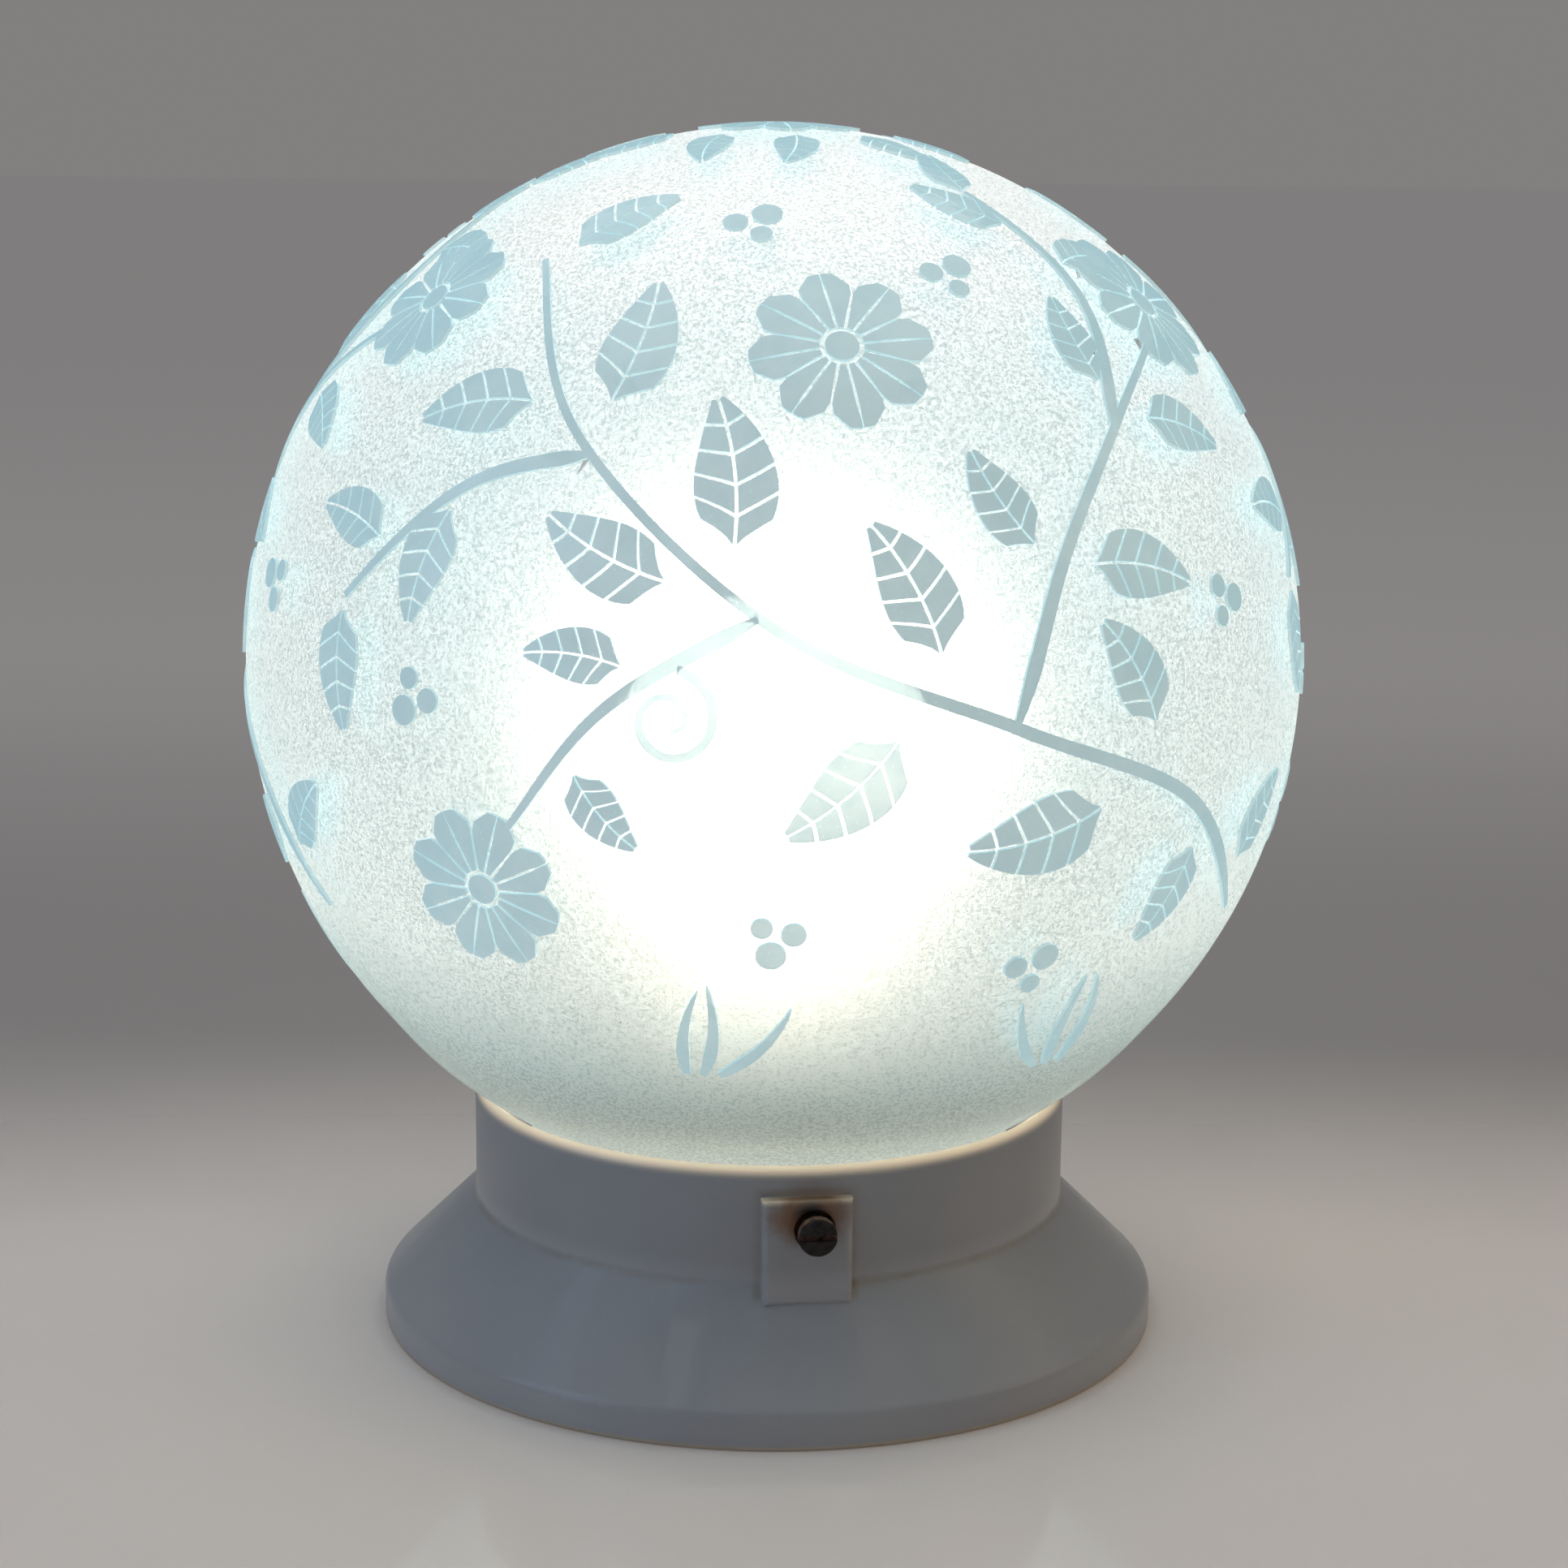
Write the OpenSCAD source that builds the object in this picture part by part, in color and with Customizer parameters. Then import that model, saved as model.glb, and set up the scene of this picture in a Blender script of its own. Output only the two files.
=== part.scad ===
// Ceiling lamp: a frosted glass globe on a round porcelain base, held by three screws that
// reach in over the lip of its neck, with a lampholder, a screw-in bulb and its wiring inside.
// Z is the lamp's axis. Z = 0 is the plane of the ceiling, and the globe is up, as when the
// lamp stands on its back. Retaining screw 1 is at the front, on the -Y side.

/* [Globe] */
// Outside diameter of the glass globe
globe_d = 200; // [170:1:230]
// Thickness of the glass
globe_wall = 3.5; // [2.5:0.1:4.5]
// Outside diameter of the neck, in the groove above its lip
neck_d = 93.2; // [86:0.2:100]
// How far the lip stands out from the neck
lip_proud = 3; // [2.4:0.1:3.6]
// Height of the lip
lip_h = 4; // [3:0.1:5]
// Depth of the neck, from the seat's outer edge to the bottom of the lip
neck_len = 19.4; // [17:0.1:23]

/* [Base] */
// Gap around the lip, inside the collar
neck_gap = 2.9; // [2.4:0.1:3.6]
// Thickness of the collar
collar_wall = 5; // [4.4:0.1:6.5]
// How far the seat's outer edge lies inside the outside of the collar
seat_edge = 1.1; // [0.8:0.1:1.6]
// Rounding of the collar's rim
rim_round = 3; // [2.4:0.1:3.6]
// How far the foot spreads beyond the collar
foot_flare = 18; // [15:0.5:24]
// Height of the foot's upright edge
foot_edge = 6.5; // [5.5:0.1:8]
// Height at which the foot's slope meets the collar
foot_h = 24.3; // [21:0.1:27]
// Thickness of the foot
foot_wall = 6; // [5:0.1:7]
// Rounding of the foot's upright edge
foot_round = 3; // [2:0.1:4]
// Fillet between the slope and the collar
crease_fillet = 2.5; // [1.5:0.1:3.5]
// Thickness of the floor inside the collar
web_t = 6; // [5:0.1:8]
// Space between the lip and the floor
well_gap = 7; // [6:0.1:9]
// Width of the cable notch in the back of the foot
notch_w = 9; // [7:0.5:12]
// Height of the cable notch
notch_h = 8; // [6.5:0.1:9]
// Radius of the holes for the ceiling screws
fixing_r = 2.5; // [2:0.1:3]

/* [Screw pads] */
// Width of a pad
pad_w = 16.5; // [14:0.1:20]
// Height of a pad above its screw
pad_up = 5.4; // [5:0.1:7]
// Height of a pad below its screw
pad_down = 14.5; // [11:0.1:16]
// How far a pad stands out from the collar
pad_proud = 3; // [2:0.1:4]
// How far a pad lies to the left of its screw
pad_shift = 1.2; // [0:0.1:2.5]
// Rounding of the pad's edges
pad_round = 1.6; // [0.8:0.1:2]

/* [Retaining screws] */
// Diameter of the screw's shank
screw_d = 4; // [3.6:0.1:4.6]
// Diameter of its head
screw_head_d = 7; // [6.4:0.1:8]
// Height of its head
screw_head_h = 2.6; // [2.2:0.1:3.2]
// Width of the slot
slot_w = 1; // [0.8:0.1:1.4]
// Depth of the slot
slot_depth = 1.1; // [0.8:0.1:1.4]
// Height of the screw's axis above the lip
screw_over_lip = 4.6; // [3:0.1:5.2]
// Length of the threaded bush in the pad
bush_len = 4; // [3:0.1:4.6]
// Diameter of the soft tip in the screw's end
tip_d = 2.6; // [2:0.1:3]
// Length of the soft tip
tip_len = 3; // [2.6:0.1:4]
// How far the tip stands out of the screw
tip_proud = 1.2; // [0.9:0.1:1.6]
// Space between the backed-off tip and the lip
tip_clear = 0.5; // [0.3:0.1:0.8]
// Space between the backed-off head and the pad
head_gap = 2; // [1:0.1:3]

/* [Lampholder] */
// Diameter of the lampholder
holder_d = 46; // [42:0.5:52]
// Height of the lampholder
holder_h = 40; // [37:0.5:46]
// How far its flange spreads
flange_w = 6; // [5.8:0.1:8]
// Height of its flange
flange_h = 10; // [8:0.5:13]
// Height of the socket's floor inside it
holder_floor = 12; // [10.5:0.5:15]
// Thickness of the screw shell
shell_wall = 0.5; // [0.4:0.05:0.7]
// Height of the step that the screw shell stands on, above the socket's floor
shell_step = 2.6; // [2.2:0.1:3.4]
// Height of the centre contact above the socket's floor
contact_h = 4; // [3.4:0.1:5]
// Thickness of the contact strips
strip_t = 0.6; // [0.4:0.05:0.7]
// Width of the contact strips
strip_w = 4; // [3:0.1:4.6]
// Diameter of the screws that hold the lampholder
holder_screw_d = 4; // [3:0.1:4.4]
// Diameter of their heads
holder_head_d = 7; // [6:0.1:7.4]
// Height of their heads
holder_head_h = 2.4; // [2:0.1:2.6]

/* [Bulb] */
// Diameter of the bulb
bulb_d = 60; // [50:0.5:70]
// Length of the bulb
bulb_len = 105; // [98:0.5:115]
// Diameter of the bulb's glass neck
bulb_neck_d = 28; // [27:0.1:30]
// Radius of the hollow between the bulb's ball and its neck
bulb_flank_r = 40; // [32:1:50]
// Thickness of the bulb's glass
bulb_wall = 0.8; // [0.6:0.1:1]
// Diameter of the bulb's screw cap
cap_d = 26.4; // [25:0.1:27]
// Length of the cap with its contact
cap_len = 26; // [24:0.5:29]
// Depth of the cap's thread
thread_depth = 1.1; // [0.8:0.1:1.3]
// Pitch of the cap's thread
thread_pitch = 3.63; // [3.2:0.01:4]
// Thickness of the cap's metal
cap_wall = 0.45; // [0.35:0.05:0.6]

/* [Wiring] */
// Width of the connector block
con_w = 23; // [21.5:0.5:27]
// Length of the connector block
con_len = 14; // [12:0.5:16]
// Height of the connector block
con_h = 11; // [10:0.1:13]
// Space between the connector block and the ceiling
con_gap = 3; // [2:0.1:5]
// Distance between the two poles
pole_pitch = 12; // [11:0.1:13]
// Diameter of the connector's brass barrels
barrel_d = 5.4; // [4.6:0.1:6]
// Bore of the barrels
barrel_bore = 3.2; // [2.8:0.1:3.6]
// Width of a terminal
terminal_w = 6; // [5:0.1:6.6]
// Height of a terminal
terminal_h = 7; // [6:0.1:8]
// Diameter of a lead over its insulation
lead_d = 2.6; // [2.2:0.1:3]
// Diameter of a lead's bare wire
wire_d = 1.5; // [1:0.1:1.8]
// Bend radius of a lead
bend_r = 3; // [2.4:0.1:4]

/* [Clearances] */
// Space between the globe and its seat
seat_gap = 0.3; // [0.2:0.05:0.5]
// Radial clearance of a screw in its thread and of a pin in its hole
running = 0.1; // [0.05:0.01:0.1]
// Radial clearance of a piece that stands in a pocket
pocket_gap = 0.3; // [0.2:0.05:0.4]
// Space between the bulb's thread and the screw shell, and under its contact
bulb_gap = 0.3; // [0.2:0.05:0.4]

/* [Hidden] */
$fn = 96;

// Overlap of a cut past the face that it leaves
past = 1;

// Heights of the base, from the ceiling up
web_z = con_h + con_gap;
well_z = web_z + web_t;
lip_z = well_z + well_gap;
seat_z = lip_z + neck_len;
screw_z = lip_z + lip_h + screw_over_lip;

// Radii of the globe's neck and of the collar and foot around it
neck_r = neck_d / 2;
neck_in_r = neck_r - globe_wall;
lip_r = neck_r + lip_proud;
bore_r = lip_r + neck_gap;
collar_r = bore_r + collar_wall;
foot_r = collar_r + foot_flare;
seat_r = collar_r - seat_edge;
globe_r = globe_d / 2;
globe_z = seat_z + sqrt(pow(globe_r + seat_gap, 2) - pow(seat_r, 2));
neck_top = globe_z - sqrt(pow(globe_r, 2) - pow(neck_r, 2));
rim_z = seat_z + rim_round - sqrt(pow(rim_round, 2) - pow(rim_round - seat_edge, 2));

// Inside of the foot, parallel to its slope
slope_a = atan2(foot_h - foot_edge, foot_flare);
slope_wall = foot_wall / sin(slope_a);
hollow_r = foot_r - foot_wall;
hollow_edge = foot_edge - (slope_wall - foot_wall) * tan(slope_a);
hollow_top_r = foot_r - slope_wall - (web_z - foot_edge) / tan(slope_a);
foot_lip_round = 0.8;

// Retaining screws: distances from the lamp's axis
SCREWS = [0, 1, 2];
pad_face = collar_r + pad_proud;
pad_root = collar_r - collar_wall / 2;
head_under = pad_face + head_gap;
tip_end = lip_r + tip_clear;
screw_end = tip_end + tip_proud;
tip_pocket = tip_len - tip_proud + running;
tip_point = 0.5;
pad_hole_d = screw_head_d + 2 * pocket_gap;

// Lampholder: heights and radii
holder_r = holder_d / 2;
flange_r = holder_r + flange_w;
floor_z = well_z + holder_floor;
step_z = floor_z + shell_step;
holder_top = well_z + holder_h;
cap_r = cap_d / 2;
shell_in_r = cap_r + bulb_gap;
shell_out_r = shell_in_r + thread_depth / 2 + shell_wall;
socket_r = shell_out_r + pocket_gap;
pit_r = shell_in_r - pocket_gap;
mouth_round = 1.5;
shell_below_top = 2;
holder_screw_x = pit_r - holder_head_d / 2 - pocket_gap;
nut_h = 3;
nut_over = 1.5;

// Holes in the floor for the ceiling screws
fixing_room = 9;
fixing_x = flange_r + fixing_room;

// Bulb: heights
bulb_z = floor_z + contact_h + bulb_gap;
bulb_top = bulb_z + bulb_len;
bulb_r = bulb_d / 2;
ball_z = bulb_top - bulb_r;
cap_top = bulb_z + cap_len;
bulb_neck_r = bulb_neck_d / 2;
flank_z = ball_z - sqrt(pow(bulb_r + bulb_flank_r, 2) - pow(bulb_neck_r + bulb_flank_r, 2));
tip_r = 4.8;
tip_h = 1;
insulator_h = 2.6;
thread_z = bulb_z + tip_h + insulator_h;
cap_collar_h = 3;
thread_top = cap_top - cap_collar_h;
thread_steps = 8;
cap_edge_r = 10.5;
stem_r = 4;
stem_len = 30;
stem_flare_h = 1.5;
stem_cone_h = 8;
wire_r = 0.4;
filament_r = 12;
filament_rise = 8;
filament_wire_r = 0.3;

// Wiring: the two poles lie behind the lampholder, on the +Y side
POLES = [1, -1];
terminal_y = holder_r + strip_t;
terminal_len = flange_r - terminal_y + pocket_gap;
terminal_face = terminal_y + terminal_len;
bare_wire = 0.5;
riser_y = terminal_face + bare_wire + bend_r;
lead_gap = 1;
con_y = riser_y + bend_r + lead_gap;
con_mid_y = con_y + con_len / 2;
barrel_z = web_z - con_h / 2;
barrel_end = 1;
terminal_floor = 2;
terminal_z = well_z + terminal_floor;
terminal_wire_z = terminal_z + lead_d;
lead_hole_d = lead_d + 2 * lead_gap;
clamp_d = 2.4;
clamp_head_d = 3.6;
clamp_head_h = 1.4;
clamp_slot = 0.6;
wire_touch = 0.2;
con_bolt_d = 3;
con_bolt_head_d = 5.5;
con_bolt_head_h = 2;
con_nut_h = 2.4;

function screw_angle(i) = 120 * i - 90;
function unit(v) = v / norm(v);
function turn(u, v) = u[0] * v[1] - u[1] * v[0];

// The sliver between a corner and its rounding: cut off an outer corner, or added to an inner one
module corner_sliver(before, corner, after, r) {
    to_before = unit(before - corner);
    to_after = unit(after - corner);
    half = acos(to_before * to_after) / 2;
    tangent = r / tan(half);
    centre = corner + unit(to_before + to_after) * r / sin(half);
    difference() {
        polygon([corner + to_before * tangent, corner + (corner - centre) / 2, corner + to_after * tangent]);
        translate(centre) circle(r);
    }
}

// A counterclockwise outline with each corner rounded to its own radius
module rounded(points, radii) {
    last = len(points) - 1;
    difference() {
        union() {
            polygon(points);
            for (i = [0:last])
                if (radii[i] > 0 && !is_outer(points, i)) rounding(points, radii, i);
        }
        for (i = [0:last])
            if (radii[i] > 0 && is_outer(points, i)) rounding(points, radii, i);
    }
}

function before(points, i) = points[(i + len(points) - 1) % len(points)];
function after(points, i) = points[(i + 1) % len(points)];
function is_outer(points, i) = turn(points[i] - before(points, i), after(points, i) - points[i]) > 0;

module rounding(points, radii, i) {
    corner_sliver(before(points, i), points[i], after(points, i), radii[i]);
}

// Puts a piece on screw i's axis, with its Z pointing out of the collar and its -X up
module on_screw(i) {
    rotate([0, 0, screw_angle(i)]) translate([0, 0, screw_z]) rotate([0, 90, 0]) children();
}

// A round rod from z0 to z1
module rod(d, z0, z1) {
    translate([0, 0, z0]) cylinder(d = d, h = z1 - z0);
}

// A straight slot across the top of a screw's head
module slot(d, w, depth, top) {
    translate([-w / 2, -d / 2 - past, top - depth]) cube([w, d + 2 * past, depth + past]);
}

// Porcelain base
module base_profile() {
    rounded(
        [[foot_r, 0], [foot_r, foot_edge], [collar_r, foot_h], [collar_r, rim_z], [bore_r, rim_z],
            [bore_r, well_z], [0, well_z], [0, web_z], [hollow_top_r, web_z],
            [hollow_r, hollow_edge], [hollow_r, 0]],
        [foot_lip_round, foot_round, crease_fillet, rim_round, 0, foot_round, 0, 0, foot_round, 0, 0]);
}

module pad_solid() {
    left = -pad_w / 2 - pad_shift;
    depth = pad_face - pad_root;
    bottom = screw_z - pad_down;
    intersection() {
        translate([pad_root, 0, bottom]) linear_extrude(pad_up + pad_down)
            rounded([[0, left], [depth, left], [depth, left + pad_w], [0, left + pad_w]],
                [0, pad_round, pad_round, 0]);
        translate([pad_root, left + pad_w, bottom]) rotate([90, 0, 0]) linear_extrude(pad_w)
            rounded([[0, 0], [depth, 0], [depth, pad_up + pad_down], [0, pad_up + pad_down]],
                [0, pad_round, pad_round, 0]);
    }
}

module cable_notch() {
    translate([0, hollow_r + foot_wall + past, 0]) rotate([90, 0, 0])
        linear_extrude(foot_r - hollow_top_r + past) union() {
            translate([-notch_w / 2, -past]) square([notch_w, notch_h - notch_w / 2 + past]);
            translate([0, notch_h - notch_w / 2]) circle(d = notch_w);
        }
}

module porcelain_base() {
    color("white") difference() {
        union() {
            rotate_extrude() base_profile();
            for (i = SCREWS) rotate([0, 0, screw_angle(i)]) pad_solid();
        }
        translate([0, 0, globe_z]) sphere(globe_r + seat_gap);
        for (i = SCREWS) on_screw(i) rod(pad_hole_d, bore_r - collar_wall, pad_face + past);
        for (side = [-1, 1]) {
            translate([side * fixing_x, 0, 0]) rod(2 * fixing_r, web_z - past, well_z + past);
            translate([side * holder_screw_x, 0, 0])
                rod(holder_screw_d + 2 * running, web_z - past, well_z + past);
        }
        for (pole = POLES) translate([pole * pole_pitch / 2, riser_y, 0])
            rod(lead_hole_d, web_z - past, well_z + past);
        translate([0, con_mid_y, 0]) rod(con_bolt_d + 2 * running, web_z - past, well_z + past);
        cable_notch();
    }
}

module thread_bushes() {
    color("goldenrod") for (i = SCREWS) on_screw(i) difference() {
        rod(pad_hole_d - 2 * running, bore_r, bore_r + bush_len);
        rod(screw_d + 2 * running, bore_r - past, bore_r + bush_len + past);
    }
}

// Retaining screws and their soft tips
module retaining_screw(i) {
    color("sienna") on_screw(i) difference() {
        union() {
            rod(screw_d, screw_end, head_under);
            rod(screw_head_d, head_under, head_under + screw_head_h);
        }
        rod(tip_d + 2 * running, screw_end - past, screw_end + tip_pocket);
        slot(screw_head_d, slot_w, slot_depth, head_under + screw_head_h);
    }
}

module screw_tip(i) {
    color("ivory") on_screw(i) union() {
        translate([0, 0, tip_end]) cylinder(d1 = tip_d - 2 * tip_point, d2 = tip_d, h = tip_point);
        rod(tip_d, tip_end + tip_point, tip_end + tip_len);
    }
}

// Glass globe: its ball, neck and lip meet at flat faces, so that each keeps a simple shape
module glass_globe() {
    color("lightcyan") difference() {
        translate([0, 0, globe_z]) sphere(globe_r);
        translate([0, 0, globe_z]) sphere(globe_r - globe_wall);
        rod(2 * neck_in_r, neck_top - past, globe_z);
        rod(globe_d, globe_z - globe_r - past, neck_top);
    }
}

module globe_neck() {
    color("lightcyan") difference() {
        rod(neck_d, lip_z + lip_h, neck_top);
        rod(2 * neck_in_r, lip_z, neck_top + past);
    }
}

module globe_lip() {
    color("lightcyan") rotate_extrude() rounded(
        [[neck_in_r, lip_z], [lip_r, lip_z], [lip_r, lip_z + lip_h], [neck_in_r, lip_z + lip_h]],
        [0, lip_h / 3, lip_h / 3, 0]);
}

// Lampholder
module strip_slot(pole, z) {
    x = pole * pole_pitch / 2;
    translate([x - strip_w / 2 - pocket_gap, 0, z])
        cube([strip_w + 2 * pocket_gap, terminal_y + past, strip_t + pocket_gap]);
}

module lampholder_body() {
    color("white") difference() {
        rotate_extrude() rounded(
            [[0, well_z], [flange_r, well_z], [flange_r, well_z + flange_h], [holder_r, well_z + flange_h],
                [holder_r, holder_top], [socket_r, holder_top], [socket_r, step_z], [pit_r, step_z],
                [pit_r, floor_z], [0, floor_z]],
            [0, 0, mouth_round, 0, mouth_round, 0, 0, 0, 0, 0]);
        for (side = [-1, 1]) translate([side * holder_screw_x, 0, 0])
            rod(holder_screw_d + 2 * running, well_z - past, floor_z + past);
        for (pole = POLES)
            translate([pole * pole_pitch / 2 - terminal_w / 2 - pocket_gap, holder_r, terminal_z])
                cube([terminal_w + 2 * pocket_gap, flange_w + past, flange_h]);
        strip_slot(1, floor_z);
        strip_slot(-1, step_z - strip_t);
        for (pole = POLES) translate([pole * pole_pitch / 2 - strip_w / 2 - pocket_gap, 0, terminal_z])
            intersection() {
                translate([0, holder_r - 2 * strip_t - pocket_gap, 0])
                    cube([strip_w + 2 * pocket_gap, holder_r, step_z - terminal_z + pocket_gap]);
                translate([0, socket_r, 0]) cube([holder_r, holder_r, holder_h]);
            }
    }
}

// A wall of even thickness that waves in and out at the thread's pitch
function wave(z, z0) = (1 - cos(360 * (z - z0) / thread_pitch)) / 2;

module thread_wall(inner, depth, wall, z0, z1) {
    count = ceil((z1 - z0) / thread_pitch * thread_steps);
    heights = [for (k = [0:count]) z0 + (z1 - z0) * k / count];
    polygon(concat(
        [for (z = heights) [inner + wall + depth * wave(z, z0), z]],
        [for (k = [count:-1:0]) [inner + depth * wave(heights[k], z0), heights[k]]]));
}

module screw_shell() {
    color("goldenrod") rotate_extrude()
        thread_wall(shell_in_r, thread_depth / 2, shell_wall, step_z, holder_top - shell_below_top);
}

// A strip that stands on the inner face of a terminal, up to height z, and turns in over the wall
module terminal_strip(pole, z, inner_y) {
    x = pole * pole_pitch / 2 - strip_w / 2;
    foot_y = terminal_y - strip_t;
    translate([x, foot_y, terminal_z + running]) cube([strip_w, strip_t, z - terminal_z - running]);
    translate([x, inner_y, z - strip_t]) cube([strip_w, terminal_y - inner_y, strip_t]);
}

module centre_contact() {
    tongue_w = 6;
    tongue_y = 8.5;
    tongue_tip = 3;
    plate_y = 4.5;
    rise = contact_h - strip_t;
    run = tongue_y - tongue_tip;
    plate_x = pole_pitch / 2 + strip_w / 2;
    color("peru") union() {
        terminal_strip(1, floor_z + strip_t, plate_y);
        translate([-tongue_w / 2, plate_y, floor_z]) cube([plate_x + tongue_w / 2, tongue_y - plate_y, strip_t]);
        rotate([90, 0, 90]) translate([0, 0, -tongue_w / 2]) linear_extrude(tongue_w)
            polygon([[tongue_y, floor_z], [tongue_y, floor_z + strip_t],
                [tongue_y - run, floor_z + rise + strip_t], [-tongue_tip, floor_z + rise + strip_t],
                [-tongue_tip, floor_z + rise], [tongue_y - run - strip_t / 2, floor_z + rise]]);
    }
}

module shell_contact() {
    color("peru") terminal_strip(-1, step_z, sqrt(pow(shell_in_r, 2) - pow(pole_pitch / 2 - strip_w / 2, 2)));
}

module terminal(pole) {
    x = pole * pole_pitch / 2;
    mid_y = terminal_y + terminal_len / 2;
    color("goldenrod") difference() {
        translate([x - terminal_w / 2, terminal_y, terminal_z]) cube([terminal_w, terminal_len, terminal_h]);
        translate([x, 0, terminal_wire_z]) rotate([-90, 0, 0])
            rod(wire_d + 2 * running, terminal_y + strip_t, flange_r + past);
        translate([x, mid_y, 0]) rod(clamp_d + 2 * running, terminal_wire_z, terminal_z + terminal_h + past);
    }
}

// A small slotted clamping screw, its head up at z = head_z and its point at z = point_z
module clamp_screw(point_z, head_z) {
    difference() {
        union() {
            rod(clamp_d, point_z, head_z);
            rod(clamp_head_d, head_z, head_z + clamp_head_h);
        }
        slot(clamp_head_d, clamp_slot, clamp_slot, head_z + clamp_head_h);
    }
}

module terminal_screws() {
    color("goldenrod") for (pole = POLES)
        translate([pole * pole_pitch / 2, terminal_y + terminal_len / 2, 0])
            clamp_screw(terminal_wire_z + wire_d / 2 + wire_touch, terminal_z + terminal_h);
}

module holder_screws() {
    color("silver") for (side = [-1, 1]) translate([side * holder_screw_x, 0, 0]) difference() {
        union() {
            rod(holder_screw_d, web_z - nut_h - nut_over, floor_z);
            rod(holder_head_d, floor_z, floor_z + holder_head_h);
        }
        slot(holder_head_d, slot_w, slot_depth, floor_z + holder_head_h);
    }
}

module holder_nuts() {
    color("silver") for (side = [-1, 1]) translate([side * holder_screw_x, 0, web_z - nut_h]) difference() {
        cylinder(d = 2 * holder_screw_d, h = nut_h, $fn = 6);
        rod(holder_screw_d + 2 * running, -past, nut_h + past);
    }
}

// Bulb
module bulb_outline(inset) {
    r = bulb_r - inset;
    neck = bulb_neck_r - inset;
    flank = bulb_flank_r + inset;
    reach = r / (r + flank);
    join = [(neck + flank) * reach, ball_z + (flank_z - ball_z) * reach];
    intersection() {
        translate([0, cap_top]) square([bulb_d, bulb_len]);
        difference() {
            union() {
                translate([0, ball_z]) circle(r);
                translate([0, cap_top - past]) square([neck, flank_z - cap_top + 2 * past]);
                polygon([[0, flank_z], [join[0], flank_z], join, [0, join[1]]]);
            }
            translate([neck + flank, flank_z]) circle(flank);
        }
    }
}

module bulb_envelope() {
    color("white") rotate_extrude() difference() {
        bulb_outline(0);
        bulb_outline(bulb_wall);
        translate([0, cap_top - past]) square([bulb_neck_r - bulb_wall, 2 * past]);
    }
}

module bulb_cap() {
    root_r = cap_r - thread_depth - cap_wall;
    collar_r_in = bulb_neck_r + running;
    color("silver") rotate_extrude() union() {
        thread_wall(root_r, thread_depth, cap_wall, thread_z, thread_top);
        translate([cap_edge_r, thread_z]) square([root_r + cap_wall - cap_edge_r, cap_wall]);
        translate([root_r, thread_top]) square([collar_r_in + cap_wall - root_r, cap_wall]);
        translate([collar_r_in, thread_top]) square([cap_wall, cap_top + cap_wall - thread_top]);
        translate([root_r, thread_top]) square([cap_wall, cap_top - thread_top]);
    }
}

module bulb_insulator() {
    color("black") rotate_extrude()
        polygon([[0, bulb_z + tip_h], [tip_r, bulb_z + tip_h], [cap_edge_r, thread_z - cap_wall],
            [cap_edge_r, thread_z + cap_wall], [0, thread_z + cap_wall]]);
}

module bulb_contact() {
    color("silver") rotate_extrude()
        rounded([[0, bulb_z], [tip_r, bulb_z], [tip_r, bulb_z + tip_h], [0, bulb_z + tip_h]],
            [0, tip_h / 2, 0, 0]);
}

module bulb_stem() {
    flare_r = bulb_neck_r - bulb_wall - running;
    top = cap_top + stem_flare_h + stem_cone_h;
    color("lightblue") rotate_extrude() polygon([[0, cap_top], [flare_r, cap_top], [flare_r, cap_top + stem_flare_h],
        [stem_r, top], [stem_r, cap_top + stem_len], [0, cap_top + stem_len]]);
}

module bulb_wires() {
    foot_z = cap_top + stem_len;
    color("silver") for (side = [-1, 1]) translate([side * stem_r / 2, 0, 0]) union() {
        rod(2 * wire_r, foot_z, foot_z + filament_rise / 2);
        translate([0, 0, foot_z + filament_rise / 2]) sphere(wire_r);
        translate([0, 0, foot_z + filament_rise / 2])
            rotate([0, side * atan2(filament_r - stem_r / 2, filament_rise / 2), 0])
                rod(2 * wire_r, 0, norm([filament_r - stem_r / 2, filament_rise / 2]) - wire_r);
    }
}

module bulb_filament() {
    end_z = cap_top + stem_len + filament_rise;
    color("gold") translate([0, 0, end_z]) rotate([90, 0, 0])
        rotate_extrude(angle = 180) translate([filament_r, 0]) circle(filament_wire_r);
}

// Connector under the floor, behind the lampholder
module connector_block() {
    color("ivory") difference() {
        translate([-con_w / 2, con_y, web_z - con_h]) cube([con_w, con_len, con_h]);
        for (pole = POLES) {
            translate([pole * pole_pitch / 2, 0, barrel_z]) rotate([-90, 0, 0])
                rod(barrel_d + 2 * running, con_y - past, con_y + con_len + past);
            clamps(pole) rod(clamp_head_d + 2 * pocket_gap, web_z - con_h - past, barrel_z);
        }
        translate([0, con_mid_y, 0]) rod(con_bolt_d + 2 * running, web_z - con_h - past, web_z + past);
        translate([0, con_mid_y, 0])
            rod(con_bolt_head_d + 2 * running, web_z - con_h - past, web_z - con_h + con_bolt_head_h);
    }
}

// The places of one pole's two clamping screws
module clamps(pole) {
    for (end = [-1, 1]) translate([pole * pole_pitch / 2, con_mid_y + end * con_len / 4, 0]) children();
}

module connector_barrels() {
    color("goldenrod") for (pole = POLES) difference() {
        translate([pole * pole_pitch / 2, 0, barrel_z]) rotate([-90, 0, 0])
            rod(barrel_d, con_y + barrel_end, con_y + con_len - barrel_end);
        translate([pole * pole_pitch / 2, 0, barrel_z]) rotate([-90, 0, 0])
            rod(barrel_bore, con_y - past, con_y + con_len + past);
        clamps(pole) rod(clamp_d + 2 * running, barrel_z - barrel_d, barrel_z);
    }
}

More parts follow.
